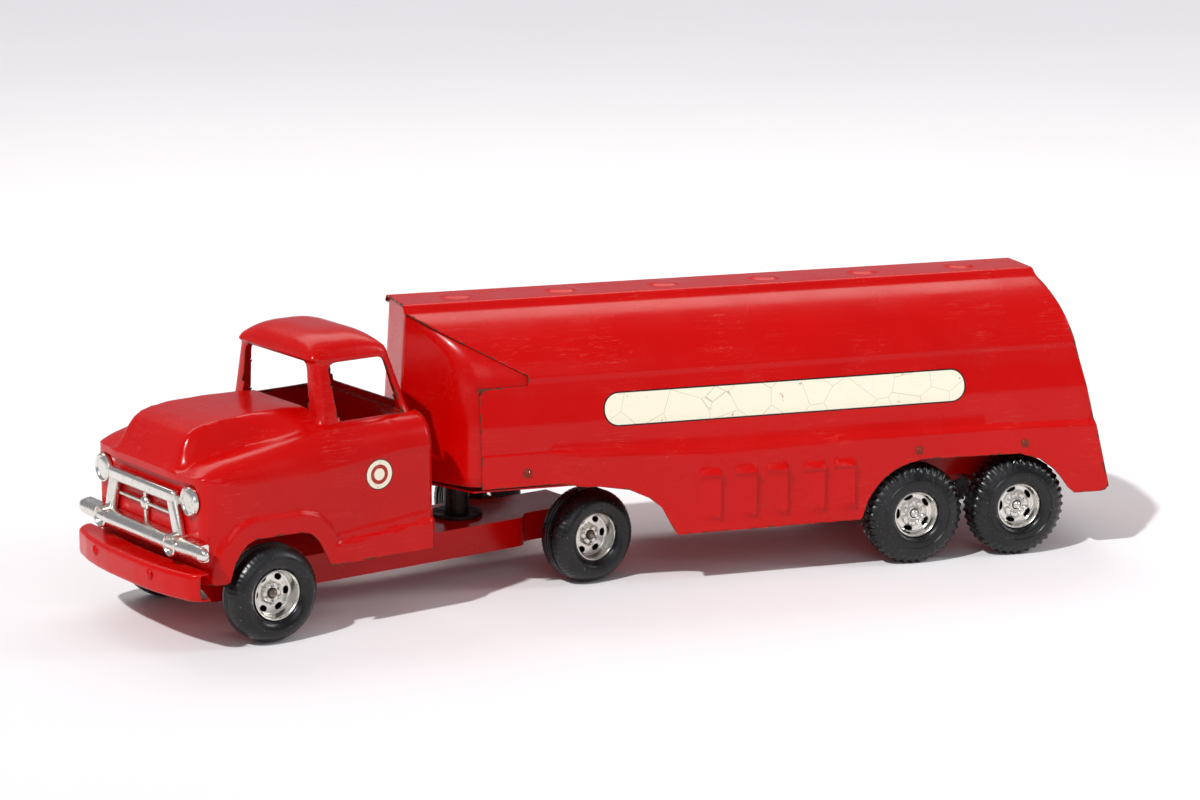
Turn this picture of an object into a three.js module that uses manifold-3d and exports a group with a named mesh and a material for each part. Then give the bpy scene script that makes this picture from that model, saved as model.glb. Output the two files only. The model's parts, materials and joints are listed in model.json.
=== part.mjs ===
// Pressed-steel toy tanker truck: a tractor with a flat snub hood and a tandem-axle tank
// trailer that pivots on the tractor's fifth wheel. Millimetres, +Z up.
// The trailer lies along X with its nose towards +X, and +Y is the truck's left side.
// Both halves are modelled with the kingpin on the Z axis and the floor at Z = 0; the tractor
// is then turned about the kingpin, and the finished group is moved so that its origin is the
// bottom centre of its box.
import * as THREE from 'three';
import { mergeVertices } from 'three/addons/utils/BufferGeometryUtils.js';
import Module from 'manifold-3d';

const wasm = await Module();
wasm.setup();

// ---- driving dimensions -------------------------------------------------------------
const STEER = 17.9;            // degrees the tractor is turned to the left of the trailer
const SHEET = 1.0;             // gauge of every pressed steel sheet
const GAP = 0.3;               // clearance between neighbouring pieces

const TRACTOR_TYRE_R = 27.6;
const TRAILER_TYRE_R = 30.3;
const RIM_LIP_Y = 66.1;        // outer face of every rim, from the centre plane
const FRONT_AXLE_X = 161.4;
const REAR_AXLE_X = -53.0;
const TANDEM_X = [-263.7, -330.0];
const AXLE_R = 2.3;

const SHELL_TOP_Z = 165.6;     // top of the raised rib along the tank
const SHELL_HALF_W = 68.0;     // skirt of the tank
const SHELL_FRONT_X = 36.0;
const SHELL_REAR_X = -357.0;   // at the top; the tail is raked back from here
const TAIL_RAKE = 0.245;       // tail moves back this much for each mm down
const SEAM_SLOPE = 0.535;      // the shell's cut edge falls this much for each mm back
const DECK_Z = 62.0;           // underside of the trailer's floor pan
const BOLSTER_T = 3.5;         // bearing plate under it

const CAB_HALF_W = 64.0;
const CAB_BACK_X = 57.0;
const CAB_FRONT_X = 203.0;
const SILL_Z = 38.5;
const BELT_Z = 97.0;
const ROOF_Z = 161.0;
const WINDOW_SILL_Z = 114.5;
const WINDOW_TOP_Z = 146.5;

const RAIL_HALF_W = 28.0;      // tractor chassis
const RAIL_TOP_Z = 35.0;
const RAIL_BOTTOM_Z = 18.0;

// ---- finishes -------------------------------------------------------------------------
const finish = (color, roughness, metalness) =>
  new THREE.MeshStandardMaterial({ color, roughness, metalness });
const RED = () => finish(0xc21512, 0.3, 0.1);
const CHROME = () => finish(0xcfcabc, 0.18, 0.9);
const STEEL = () => finish(0x8a7a68, 0.5, 0.8);
const RUBBER = () => finish(0x2b2c2c, 0.8, 0.0);

// ---- shaping helpers ------------------------------------------------------------------
/** Turns a closed three.js geometry into a solid. */
function solid(geometry) {
  const bare = geometry.clone();
  for (const name of ['normal', 'uv']) bare.deleteAttribute(name);
  const merged = mergeVertices(bare, 1e-4);
  return new wasm.Manifold(new wasm.Mesh({
    numProp: 3,
    vertProperties: new Float32Array(merged.attributes.position.array),
    triVerts: new Uint32Array(merged.index.array),
  }));
}

/** A closed outline from [a, b, radius] corners; a corner with no radius stays sharp. */
function outline(corners) {
  const shape = new THREE.Shape();
  const count = corners.length;
  const at = (i) => {
    const [a, b] = corners[(i + count) % count];
    return new THREE.Vector2(a, b);
  };
  corners.forEach(([a, b, radius = 0], i) => {
    const corner = at(i);
    const cut = (other) => {
      const edge = other.clone().sub(corner);
      return corner.clone().add(edge.setLength(Math.min(radius, 0.48 * edge.length())));
    };
    const before = radius ? cut(at(i - 1)) : corner;
    if (i === 0) shape.moveTo(before.x, before.y);
    else shape.lineTo(before.x, before.y);
    if (radius) {
      const after = cut(at(i + 1));
      shape.quadraticCurveTo(a, b, after.x, after.y);
    }
  });
  shape.closePath();
  return shape;
}

/** Extrudes an outline along one axis: 'x' reads it as (y, z), 'y' as (x, z), 'z' as (x, y). */
function prism(axis, corners, from, to, curveSegments = 4) {
  const geometry = new THREE.ExtrudeGeometry(outline(corners), {
    depth: to - from,
    bevelEnabled: false,
    curveSegments,
  });
  const unit = {
    x: new THREE.Vector3(1, 0, 0),
    y: new THREE.Vector3(0, 1, 0),
    z: new THREE.Vector3(0, 0, 1),
  };
  const basis = new THREE.Matrix4();
  if (axis === 'x') basis.makeBasis(unit.y, unit.z, unit.x).setPosition(from, 0, 0);
  if (axis === 'y') basis.makeBasis(unit.x, unit.z, unit.y.clone().negate()).setPosition(0, to, 0);
  if (axis === 'z') basis.setPosition(0, 0, from);
  return solid(geometry.applyMatrix4(basis));
}

/** A box between two corners. */
function block([x0, y0, z0], [x1, y1, z1]) {
  const geometry = new THREE.BoxGeometry(x1 - x0, y1 - y0, z1 - z0);
  return solid(geometry.translate((x0 + x1) / 2, (y0 + y1) / 2, (z0 + z1) / 2));
}

/** A round rod along an axis, centred on a point. */
function rod(axis, centre, radius, length, segments = 16) {
  const geometry = new THREE.CylinderGeometry(radius, radius, length, segments);
  if (axis === 'x') geometry.rotateZ(Math.PI / 2);
  if (axis === 'z') geometry.rotateX(Math.PI / 2);
  return solid(geometry.translate(...centre));
}

/** A body of revolution about Y from the [radius, y] corners of its half section. */
function turned(points, segments = 24) {
  const profile = points.map(([r, y]) => new THREE.Vector2(r, y));
  if (THREE.ShapeUtils.area(profile) < 0) profile.reverse();
  return solid(new THREE.LatheGeometry([...profile, profile[0]], segments));
}

const both = (half) => [...half, ...half.map(([y, z, r]) => [-y, z, r]).reverse()];
const union = (solids) => solids.reduce((sum, item) => sum.add(item));

/** Wraps a solid as a named mesh. */
function piece(name, body, material) {
  const mesh = body.getMesh();
  const geometry = new THREE.BufferGeometry();
  geometry.setAttribute('position', new THREE.BufferAttribute(mesh.vertProperties, 3));
  geometry.setIndex(new THREE.BufferAttribute(mesh.triVerts, 1));
  geometry.computeVertexNormals();
  const item = new THREE.Mesh(geometry, material);
  item.name = name;
  return item;
}

/** The same solid on the other side of the truck. */
const mirrored = (body) => body.mirror([0, 1, 0]);

// ---- tank trailer -----------------------------------------------------------------------
/** Half of the tank's section, from the rib down to the skirt, moved in by a distance. */
function tankHalf(inset) {
  return [
    [18.0 - inset * 0.5, SHELL_TOP_Z - inset],
    [20.5 - inset * 0.5, 161.6 - inset],
    [33.0 - inset * 0.5, 156.6 - inset, 3],
    [47.0 - inset * 0.7, 148.4 - inset * 0.8, 6],
    [57.5 - inset * 0.9, 136.0 - inset * 0.5, 6],
    [61.5 - inset, 120.0 - inset * 0.2, 8],
    [65.0 - inset, 99.0, 6],
    [65.4 - inset, 87.0],
    [SHELL_HALF_W - inset, 79.5],
  ];
}

/** The closed tank section, reaching down to a chosen height. */
const tankSection = (inset, bottom) => both([...tankHalf(inset), [SHELL_HALF_W - inset, bottom]]);

const tailX = (z) => SHELL_REAR_X - TAIL_RAKE * (SHELL_TOP_Z - z);
const seamZ = (x) => 161.2 - SEAM_SLOPE * (34.9 - x);

/** Side outline of the shell as (x, z): slanted nose seam, tab, arches, skirts and tail. */
function shellSide() {
  return [
    [SHELL_FRONT_X, SHELL_TOP_Z + 2],
    [SHELL_FRONT_X, seamZ(SHELL_FRONT_X)],
    [-25.5, seamZ(-25.5)],
    [-25.5, 123.0],
    [3.0, 123.0, 5],
    [4.0, 65.7],
    [-45.0, 65.7, 5],
    [-62.0, 63.0, 6],
    [-92.0, 58.5, 14],
    [-107.0, 42.0, 10],
    [-113.5, 30.5],
    [-228.0, 30.5],
    [-234.0, 48.0, 8],
    [-248.0, 62.0, 10],
    [-266.0, 64.0, 4],
    [-330.0, 63.0, 8],
    [-352.0, 55.0, 12],
    [-363.0, 36.0, 2],
    [tailX(36.0), 36.0, 3],
    [tailX(SHELL_TOP_Z + 2), SHELL_TOP_Z + 2],
  ];
}

function tankShell() {
  const outer = prism('x', tankSection(0, 20), -395, SHELL_FRONT_X);
  const inner = prism('x', tankSection(SHEET, 10), -396, SHELL_FRONT_X + 1);
  return outer.subtract(inner).intersect(prism('y', shellSide(), -80, 80, 3));
}

/** Plan outline of the wedge nose as (x, y), moved in by a distance. */
function nosePlan(inset) {
  const edge = [37.5 - inset, 18.5 - inset * 0.6];
  const shoulder = [8.5 - inset, 64.6 - inset];
  const back = [-44, 64.6 - inset];
  const left = [edge, shoulder, back];
  return [...left, ...left.map(([x, y]) => [x, -y]).reverse()];
}

function nosePanel() {
  const clear = SHEET + GAP;
  const sections = [clear, clear + SHEET].map((inset) => prism('x', tankSection(inset, DECK_Z), -44, 60));
  const outer = sections[0].intersect(prism('z', nosePlan(0), DECK_Z + 3.5, 170));
  const inner = sections[1].intersect(prism('z', nosePlan(SHEET), 40, 170));
  const open = block([-50, -80, 40], [-43, 80, 170]);
  return outer.subtract(inner).subtract(open);
}

function rearPanel() {
  const clear = SHEET + GAP;
  const recess = 2;
  const slab = prism('y', [
    [tailX(38) + recess, 38],
    [tailX(38) + recess + SHEET, 38],
    [tailX(170) + recess + SHEET, 170],
    [tailX(170) + recess, 170],
  ], -80, 80);
  return prism('x', tankSection(clear, 38), -395, -340).intersect(slab);
}

/** Floor pan with turned-down flanges, between the kingpin and the tandem. */
function floorPan() {
  const pan = block([-350, -60, DECK_Z], [30, 60, DECK_Z + SHEET]);
  const noseClear = prism('z', [
    [31, -17], [31, 17], [6, 58], [-400, 58], [-400, -58], [6, -58],
  ], 40, 80);
  return pan.intersect(noseClear).subtract(rod('z', [0, 0, DECK_Z], 4.4, 20, 20));
}

/** Channel that carries both trailer axles, open at the bottom. */
function tandemBracket() {
  const [frontAxle, rearAxle] = TANDEM_X;
  const side = [
    [frontAxle + 14, DECK_Z - GAP],
    [frontAxle + 9, TRAILER_TYRE_R - 9, 6],
    [frontAxle - 12, TRAILER_TYRE_R - 9, 6],
    [frontAxle - 20, 46, 5],
    [rearAxle + 20, 46, 5],
    [rearAxle + 12, TRAILER_TYRE_R - 9, 6],
    [rearAxle - 9, TRAILER_TYRE_R - 9, 6],
    [rearAxle - 14, DECK_Z - GAP],
  ];
  const hollow = block([rearAxle - 30, -40 + SHEET, 0], [frontAxle + 30, 40 - SHEET, DECK_Z - GAP - SHEET]);
  const holes = TANDEM_X.map((x) => rod('y', [x, 0, TRAILER_TYRE_R], AXLE_R + GAP, 100));
  return prism('y', side, -40, 40).subtract(hollow).subtract(union(holes));
}

/** Kingpin with the collar that keeps the fifth wheel from lifting off. */
function kingpin() {
  const head = rod('z', [0, 0, DECK_Z + SHEET + GAP + 1.2], 8, 2.4, 20);
  const shank = rod('z', [0, 0, (DECK_Z + 31) / 2], 3.6, DECK_Z - 31 + 4, 20);
  return head.add(shank);
}

/** Round bearing plate under the trailer's floor. */
function bolster() {
  const plate = rod('z', [0, 0, DECK_Z - GAP - BOLSTER_T / 2], 26, BOLSTER_T, 32);
  return plate.subtract(rod('z', [0, 0, DECK_Z], 4.2, 30, 20));
}

/** Side screw with a domed head, on the left side. */
function sideScrew(x, z, y) {
  const head = turned([[0, 1.3], [1.8, 1.0], [2.9, 0], [0, 0]], 12);
  return head.translate([x, y + GAP, z]);
}

// ---- wheels -------------------------------------------------------------------------------
/** Pressed rim: bore, dished face, barrel and lip. Local y = 0 is the outer lip face. */
function rim(lipR, barrel, dish, segments = 20) {
  return turned([
    [AXLE_R + 0.4, -dish - 5],
    [AXLE_R + 0.4, -dish + 1.4],
    [5.5, -dish + 1.4],
    [lipR * 0.62, -dish],
    [lipR - 2.6, -dish],
    [lipR - 1.6, 0],
    [lipR, 0],
    [lipR, -barrel],
    [lipR - 1.4, -barrel],
    [lipR - 3.6, -dish - 1.6],
    [5.5, -dish - 1.6],
    [5.5, -dish - 5],
  ], segments);
}

/** Solid rubber tyre from [radius, y] tread points, bored to sit on a rim. */
function tyre(bore, outside) {
  return turned([[bore, outside[0][1]], ...outside, [bore, outside[outside.length - 1][1]]], 24);
}

const FRONT_TREAD = [[20, 2.4], [25.4, 0.2], [27.6, -4.2], [27.6, -11.4], [25.4, -15.0], [20, -16.6]];
const DUAL_TREAD = [
  [20, 3.4], [25.6, 1.2], [27.6, -2.6], [27.4, -5.6], [25.6, -7.4], [27.6, -9.2], [27.6, -13.6],
  [25.6, -18.0], [20, -20.2],
];
const TRAILER_TREAD = [[22, 2.8], [27.6, 0.8], [30.3, -4.6], [30.3, -11.6], [27.6, -16.8], [22, -18.8]];

/** Push-on cap that holds a wheel on its axle. */
const pushNut = () => turned([[0, 2.6], [2.6, 2.0], [4.2, 0], [0, 0]], 14);

/** One wheel set down at an axle end: rim, tyre and cap as separate meshes. */
function wheel(tag, x, radius, side, treads, dims) {
  const group = new THREE.Group();
  const set = [
    [`${tag}_rim`, rim(dims.lip, dims.barrel, dims.dish), CHROME()],
    [`${tag}_tyre`, tyre(dims.lip + GAP, treads), RUBBER()],
    [`${tag}_axle_cap`, pushNut().translate([0, -dims.dish + 1.4 + GAP, 0]), STEEL()],
  ];
  for (const [name, body, material] of set) {
    const placed = body.translate([0, RIM_LIP_Y, 0]);
    group.add(piece(name, side > 0 ? placed : mirrored(placed), material));
  }
  group.position.set(x, 0, radius);
  return group;
}

// ---- tractor ------------------------------------------------------------------------------
/** Lower body of the cab, moved in by a distance: hood, fenders and doors as one solid. */
function cabLower(inset, bottom) {
  const front = CAB_FRONT_X - inset;
  const back = CAB_BACK_X + inset;
  const w = CAB_HALF_W - inset;
  const side = prism('y', [
    [back, bottom],
    [front, bottom],
    [front, 92 - inset],
    [206.6 - inset, 94 - inset],
    [206.6 - inset, 97 - inset, 1.5],
    [198 - inset, 107 - inset, 6],
    [150, 112 - inset, 8],
    [121, 116.5 - inset, 3],
    [back, 113.5 - inset, 2],
  ], -80, 80);
  const section = prism('x', both([
    [0.1, 130],
    [42, 118 - inset],
    [52, 112.5 - inset, 3],
    [w - 2.2, 104 - inset * 0.5, 4],
    [w, BELT_Z, 4],
    [w, 56],
    [w + 1.6, 51],
    [w + 1.6, bottom],
  ]), 40, 220);
  const plan = prism('z', [
    [back, -70], [160, -70, 20], [196, -66 + inset, 10], [209 - inset, -55, 10], [212 - inset, 0, 30],
    [209 - inset, 55, 10], [196, 66 - inset, 10], [160, 70, 20], [back, 70],
  ], 0, 200);
  return side.intersect(section).intersect(plan);
}

/** Raised centre of the hood. */
function hoodDome(inset) {
  const side = prism('y', [
    [119, 90],
    [203 - inset, 90],
    [204 - inset, 100 - inset],
    [196 - inset, 115 - inset, 6],
    [180, 120.6 - inset, 8],
    [119, 120 - inset, 6],
  ], -50, 50);
  const section = prism('x', both([[30 - inset, 122], [38 - inset, 108], [40 - inset, 80]]), 100, 210);
  return side.intersect(section);
}

/** Roof and pillars as a solid block. */
function greenhouse(inset) {
  const side = prism('y', [
    [CAB_BACK_X + 6 + inset, 106],
    [122 - inset, 106],
    [123 - inset, 148 - inset, 2],
    [118 - inset, ROOF_Z - 4 - inset, 6],
    [100, ROOF_Z - inset, 10],
    [80, ROOF_Z - 1 - inset, 10],
    [CAB_BACK_X + 15 + inset, 153 - inset, 6],
  ], -60, 60);
  const section = prism('x', both([
    [14, ROOF_Z + 0.5 - inset, 10],
    [34 - inset, 156.5 - inset, 8],
    [40 - inset, 147 - inset, 4],
    [49.5 - inset, 112],
    [50 - inset, 104],
  ]), 40, 220);
  return side.intersect(section);
}

/** Wheel arch cutter through both fenders. */
function archCut() {
  return prism('y', [
    [126, 30], [133, 57, 6], [140, 61, 4], [174, 61.5, 5], [184, 56, 6], [190, 30],
  ], -80, 80);
}

function cabBody() {
  const outer = union([cabLower(0, SILL_Z), hoodDome(0), greenhouse(0)]);
  const inner = union([cabLower(SHEET, SILL_Z - 5), hoodDome(SHEET), greenhouse(SHEET)]);
  const windscreen = prism('x', both([[33, WINDOW_TOP_Z + 0.5, 3], [36.5, WINDOW_SILL_Z + 6, 3]]), 112, 140);
  const sideGlass = prism('y', [
    [108, WINDOW_SILL_Z + 1, 3], [71, WINDOW_SILL_Z + 1, 3], [78, WINDOW_TOP_Z, 4], [111, WINDOW_TOP_Z, 4],
  ], -80, 80);
  const backOpen = prism('x', both([
    [33, 152, 4], [42.5, 116], [57, 108, 4], [60.5, 96], [60.5, SILL_Z - 6],
  ]), CAB_BACK_X - 5, CAB_BACK_X + 20);
  const openings = union([windscreen, sideGlass, archCut(), backOpen]);
  return outer.subtract(inner).subtract(openings);
}

/** Separate pressing that closes the back of the cab, with the rear window. */
function cabBackPanel() {
  const x = CAB_BACK_X + 2;
  const clear = SHEET + GAP;
  const slab = prism('y', [
    [x, 36],
    [x + SHEET, 36],
    [x + SHEET, 103.5],
    [x + 7, 108],
    [x + 16, 154],
    [x + 15, 154],
    [x + 6, 109],
    [x, 104.5],
  ], -80, 80);
  const form = union([cabLower(clear, 36), greenhouse(clear)]);
  const glass = prism('x', both([[30, 145, 4], [36, 117, 4]]), 50, 90);
  return slab.intersect(form).subtract(glass);
}

/** Tractor chassis: an open-bottomed channel with a narrower tail and a front horn. */
function chassis() {
  const plan = prism('z', [
    [-78, -20], [-34, -20, 4], [-28, -RAIL_HALF_W, 4], [206, -RAIL_HALF_W], [206, RAIL_HALF_W],
    [-28, RAIL_HALF_W, 4], [-34, 20, 4], [-78, 20],
  ], RAIL_BOTTOM_Z, RAIL_TOP_Z);
  const hollow = prism('z', [
    [-80, -20 + SHEET], [-34, -20 + SHEET, 4], [-28, -RAIL_HALF_W + SHEET, 4], [207, -RAIL_HALF_W + SHEET],
    [207, RAIL_HALF_W - SHEET], [-28, RAIL_HALF_W - SHEET, 4], [-34, 20 - SHEET, 4], [-80, 20 - SHEET],
  ], RAIL_BOTTOM_Z - 1, RAIL_TOP_Z - SHEET);
  const horn = block([200, -38, 33.5], [218, 38, 34.7]).add(block([216.6, -38, 33.5], [217.8, 38, 44.5]));
  const holes = [FRONT_AXLE_X, REAR_AXLE_X].map((x) => rod('y', [x, 0, TRACTOR_TYRE_R], AXLE_R + GAP, 80));
  holes.push(rod('z', [0, 0, RAIL_TOP_Z], 4.2, 10, 20));
  const nose = prism('y', [[176, 10], [186, 27, 8], [200, 33.4], [210, 33.4], [210, 10]], -40, 40);
  return plan.subtract(hollow).subtract(nose).add(horn).subtract(union(holes));
}

/** Fifth wheel: a flanged post on the chassis whose head the trailer's bolster rests on. */
function fifthWheel() {
  const top = DECK_Z - GAP - BOLSTER_T - GAP;
  const foot = RAIL_TOP_Z + GAP;
  const head = rod('z', [0, 0, top - 1], 15, 2, 28);
  const post = rod('z', [0, 0, (top + foot) / 2], 7.5, top - foot, 20);
  const flange = rod('z', [0, 0, foot + 1], 15, 2, 28);
  return union([head, post, flange]).subtract(rod('z', [0, 0, 45], 4.2, 60, 20));
}

/** Bowed channel bumper with a shelf behind its top edge. */
function bumper() {
  const bow = (back) => [
    [208 - back, -67], [216 - back, -60, 4], [221.3 - back, -30, 20], [222 - back, 0, 20],
    [221.3 - back, 30, 20], [216 - back, 60, 4], [208 - back, 67],
  ];
  const face = [...bow(0), ...bow(SHEET * 1.2).reverse()];
  const shelf = [...bow(0), [204.5, 64], [204.5, -64]];
  const holes = [-30.7, 30.7].map((y) => rod('x', [220, y, 41.3], 1.9, 10, 12));
  return prism('z', face, 32, 47).add(prism('z', shelf, 45.8, 47)).subtract(union(holes));
}

/** Rivet that fixes the bumper; the head sits in front of the face. */
function bumperRivet(y) {
  const head = rod('x', [222.4, y, 41.3], 3.0, 1.2, 12);
  return head.add(rod('x', [220.4, y, 41.3], 1.5, 4, 12));
}

/** One-piece plated moulding: frame, cross, headlamps, lower bar and parking lamps. */
function grille() {
  const x0 = CAB_FRONT_X + GAP;
  const frameOuter = both([[34, 85.5, 2], [45, 58, 2]]);
  const frameInner = both([[24, 80, 2], [31.5, 62.5, 2]]);
  const frame = prism('x', frameOuter, x0, x0 + 5).subtract(prism('x', frameInner, 200, 215));
  const cross = union([
    block([x0, -30, 70.5], [x0 + 3, 30, 75]),
    block([x0, -2.2, 60], [x0 + 3, 2.2, 82]),
    rod('x', [x0 + 2, 0, 72.8], 4.4, 4, 16),
  ]);
  const bar = prism('z', [
    [x0, -72, 1], [x0 + 4, -72, 2], [x0 + 9.5, -38, 12], [x0 + 9.5, 38, 12], [x0 + 4, 72, 2], [x0, 72, 1],
  ], 53.6, 62.0);
  const lamps = [-1, 1].map((s) => union([
    rod('x', [x0 + 1.6, s * 48.3, 83.2], 8.2, 3.2, 20),
    block([x0, s > 0 ? 30 : -46, 79], [x0 + 2, s > 0 ? 46 : -30, 83.5]),
    rod('x', [x0 + 5.5, s * 39.4, 58], 6.4, 10, 18),
  ]));
  return union([frame, cross, bar, ...lamps]);
}

// ---- assembly -----------------------------------------------------------------------------
const trailer = new THREE.Group();
trailer.add(
  piece('tank_shell', tankShell(), RED()),
  piece('nose_panel', nosePanel(), RED()),
  piece('rear_end_panel', rearPanel(), RED()),
  piece('trailer_floor_pan', floorPan(), RED()),
  piece('bolster_plate', bolster(), STEEL()),
  piece('kingpin', kingpin(), STEEL()),
  piece('tandem_axle_bracket', tandemBracket(), RED()),
);
const screwPlaces = [
  ['front', -23.5, 73.5],
  ['middle', TANDEM_X[0], 69.8],
  ['rear', TANDEM_X[1] - 2, 69.2],
];
for (const [place, x, z] of screwPlaces) {
  const screw = sideScrew(x, z, SHELL_HALF_W);
  trailer.add(piece(`side_screw_${place}_left`, screw, STEEL()));
  trailer.add(piece(`side_screw_${place}_right`, mirrored(screw), STEEL()));
}

const tractor = new THREE.Group();
tractor.add(
  piece('cab_body', cabBody(), RED()),
  piece('cab_back_panel', cabBackPanel(), RED()),
  piece('tractor_chassis', chassis(), RED()),
  piece('fifth_wheel', fifthWheel(), STEEL()),
  piece('front_bumper', bumper(), RED()),
  piece('bumper_rivet_left', bumperRivet(30.7), STEEL()),
  piece('bumper_rivet_right', bumperRivet(-30.7), STEEL()),
  piece('grille_moulding', grille(), CHROME()),
);

const tractorDims = { lip: 14.4, barrel: 14, dish: 6.5 };
const trailerDims = { lip: 14.0, barrel: 16, dish: 5.5 };
const axles = [
  [tractor, 'front', FRONT_AXLE_X, TRACTOR_TYRE_R, FRONT_TREAD, tractorDims],
  [tractor, 'drive', REAR_AXLE_X, TRACTOR_TYRE_R, DUAL_TREAD, tractorDims],
  [trailer, 'tandem_front', TANDEM_X[0], TRAILER_TYRE_R, TRAILER_TREAD, trailerDims],
  [trailer, 'tandem_rear', TANDEM_X[1], TRAILER_TYRE_R, TRAILER_TREAD, trailerDims],
];
for (const [owner, tag, x, radius, treads, dims] of axles) {
  const length = 2 * (RIM_LIP_Y - dims.dish + 1.4);
  owner.add(piece(`${tag}_axle`, rod('y', [x, 0, radius], AXLE_R, length), STEEL()));
  for (const [side, sign] of [['left', 1], ['right', -1]]) {
    owner.add(wheel(`${tag}_${side}`, x, radius, sign, treads, dims));
  }
}
tractor.rotation.z = THREE.MathUtils.degToRad(STEER);

const truck = new THREE.Group();
truck.add(trailer, tractor);
truck.updateMatrixWorld(true);
const box = new THREE.Box3().setFromObject(truck, true);
const centre = box.getCenter(new THREE.Vector3());
truck.position.set(-centre.x, -centre.y, -box.min.z);

export default truck;
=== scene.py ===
"""Looks of the pressed-steel toy tanker truck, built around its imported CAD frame. Metres, +Z up.

Pieces are shaped in millimetres in one of two local frames, with the kingpin on the Z axis, +X
forward, +Y to the truck's left and the floor at Z = 0: one for the trailer, and one for the
tractor, which stands turned to the left. Each piece is then set down in the shared frame.
"""
import functools
import json
import math

import bmesh
import bpy
from mathutils import Euler, Matrix, Vector


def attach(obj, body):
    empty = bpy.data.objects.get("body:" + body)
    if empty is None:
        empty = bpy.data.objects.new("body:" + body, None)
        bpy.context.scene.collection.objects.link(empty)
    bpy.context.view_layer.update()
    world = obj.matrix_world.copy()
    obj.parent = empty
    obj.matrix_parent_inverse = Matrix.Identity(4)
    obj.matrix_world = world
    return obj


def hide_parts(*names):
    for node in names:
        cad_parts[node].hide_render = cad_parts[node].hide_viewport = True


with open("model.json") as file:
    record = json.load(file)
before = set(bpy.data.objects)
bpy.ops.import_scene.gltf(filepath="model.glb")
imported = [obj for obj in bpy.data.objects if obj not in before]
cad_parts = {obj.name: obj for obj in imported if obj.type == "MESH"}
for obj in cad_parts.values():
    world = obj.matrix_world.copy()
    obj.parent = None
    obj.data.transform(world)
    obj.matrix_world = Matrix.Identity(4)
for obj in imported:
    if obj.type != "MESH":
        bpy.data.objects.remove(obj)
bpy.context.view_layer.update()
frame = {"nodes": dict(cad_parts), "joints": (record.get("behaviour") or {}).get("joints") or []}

# ---- places worked out from the frame ---------------------------------------------------------
JOINTS = {joint["name"]: joint for joint in frame["joints"]}
KINGPIN = Vector(JOINTS["fifth_wheel_turn"]["pos_m"])
KINGPIN.z = 0
WHEEL_AXIS = JOINTS["front_left_wheel_spin"]["axis"]
STEER = math.atan2(-WHEEL_AXIS[0], WHEEL_AXIS[1])
MM = 0.001
TRAILER = Matrix.Translation(KINGPIN) @ Matrix.Scale(MM, 4)
TRACTOR = Matrix.Translation(KINGPIN) @ Matrix.Rotation(STEER, 4, "Z") @ Matrix.Scale(MM, 4)

# ---- driving dimensions, mm ---------------------------------------------------------------------
TINY = 1e-6
SIDES = (("left", 1), ("right", -1))
SHEET = 0.9            # gauge of the pressed steel
TUCK = SHEET + 0.35    # how far the tank's end sheets stand inside its outline
RIB_HALF_W = 18.4      # tank: raised rib along the top
RIB_TOP = 165.4
SKIRT_Y = 68.0         # tank: outside of the skirts
NOSE_SKIRT_Y = 66.4    # and ahead of the crease
SIDE_FOOT_Y = 65.3     # tank: foot of its side, where the crease starts to stand out
RIDGE_START_X = -32.0  # tank: front end of the crease above the skirts
TAIL_TOP_X = -357.0
TAIL_RAKE = 0.245      # the tail moves back this much for each mm down
RAKE_START_X = -230.0  # where the shell starts to lean towards the tail
SEAM_TOP = (34.9, 161.2)
SEAM_SLOPE = 0.535     # fall of the shell's cut edge at the nose
NOTCH_X = -25.5        # rear end of that cut
TAB_TOP_Z = 123.0
TAB_FRONT_X = 3.5
DISC_R = 9.6           # hatch discs pressed into the rib
DISC_RISE = 1.2
DISC_XS = [-1.0 - 63.2 * i for i in range(6)]
LOUVRE_XS = [-139.2, -161.3, -180.5, -203.6, -222.7]   # rear edges of the louvres
LOUVRE_W = 13.5
LOUVRE_LIP = 0.6       # a louvre starts to rise this far behind its rear edge
SCREW_PLACES = {"front": (-23.5, 73.5), "middle": (-263.7, 69.8), "rear": (-332.0, 69.2)}
# the tank's outline down its side, as (y, z, corner radius)
TANK_SIDE = [(20.4, 161.2, 1), (32.2, 157.4, 4), (43.4, 151.4, 5), (51.6, 144.9, 5), (57.6, 136.7, 5),
             (60.5, 128.9, 5), (62, 116, 5), (65, 101, 5)]

CAB_HALF_W = 64.0
CAB_BACK_X = 57.5
COWL_X = 119.0         # foot of the windscreen
HOOD_FRONT_X = 206.6
CORNER_X = 191.0       # where the cab's side starts to turn round to the front
PANEL_X = 203.0        # front panel behind the grille
SILL_Z = 38.5
RIM_LIP_Y = 66.1       # outer lip of every rim from the centre plane
SHADE_WEB_R = 4.2            # bore of the rubber web that closes the back of each wheel, a dark sheet put there as painted shade behind the rim's openings


# ---- small helpers ------------------------------------------------------------------------------
def lerp(a, b, t):
    return a + (b - a) * t


def ease(start, end, value):
    """Smooth step from 0 at start to 1 at end."""
    t = min(1.0, max(0.0, (value - start) / (end - start)))
    return t * t * (3 - 2 * t)


def graph(points, x):
    """Height at x of the line through (x, height) points in rising x."""
    if x <= points[0][0]:
        return points[0][1]
    for (xa, ya), (xb, yb) in zip(points, points[1:]):
        if x <= xb:
            return lerp(ya, yb, (x - xa) / (xb - xa))
    return points[-1][1]


def spaced(start, end, step):
    """Numbers from start to end, evenly spaced by about one step, both ends included."""
    count = max(1, round(abs(end - start) / step))
    return [lerp(start, end, i / count) for i in range(count + 1)]


def merged(*lists, apart=0.35):
    """All the numbers of several lists in order, without those closer together than apart."""
    result = []
    for value in sorted(x for numbers in lists for x in numbers):
        if not result or value - result[-1] >= apart:
            result.append(value)
    return result


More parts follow.
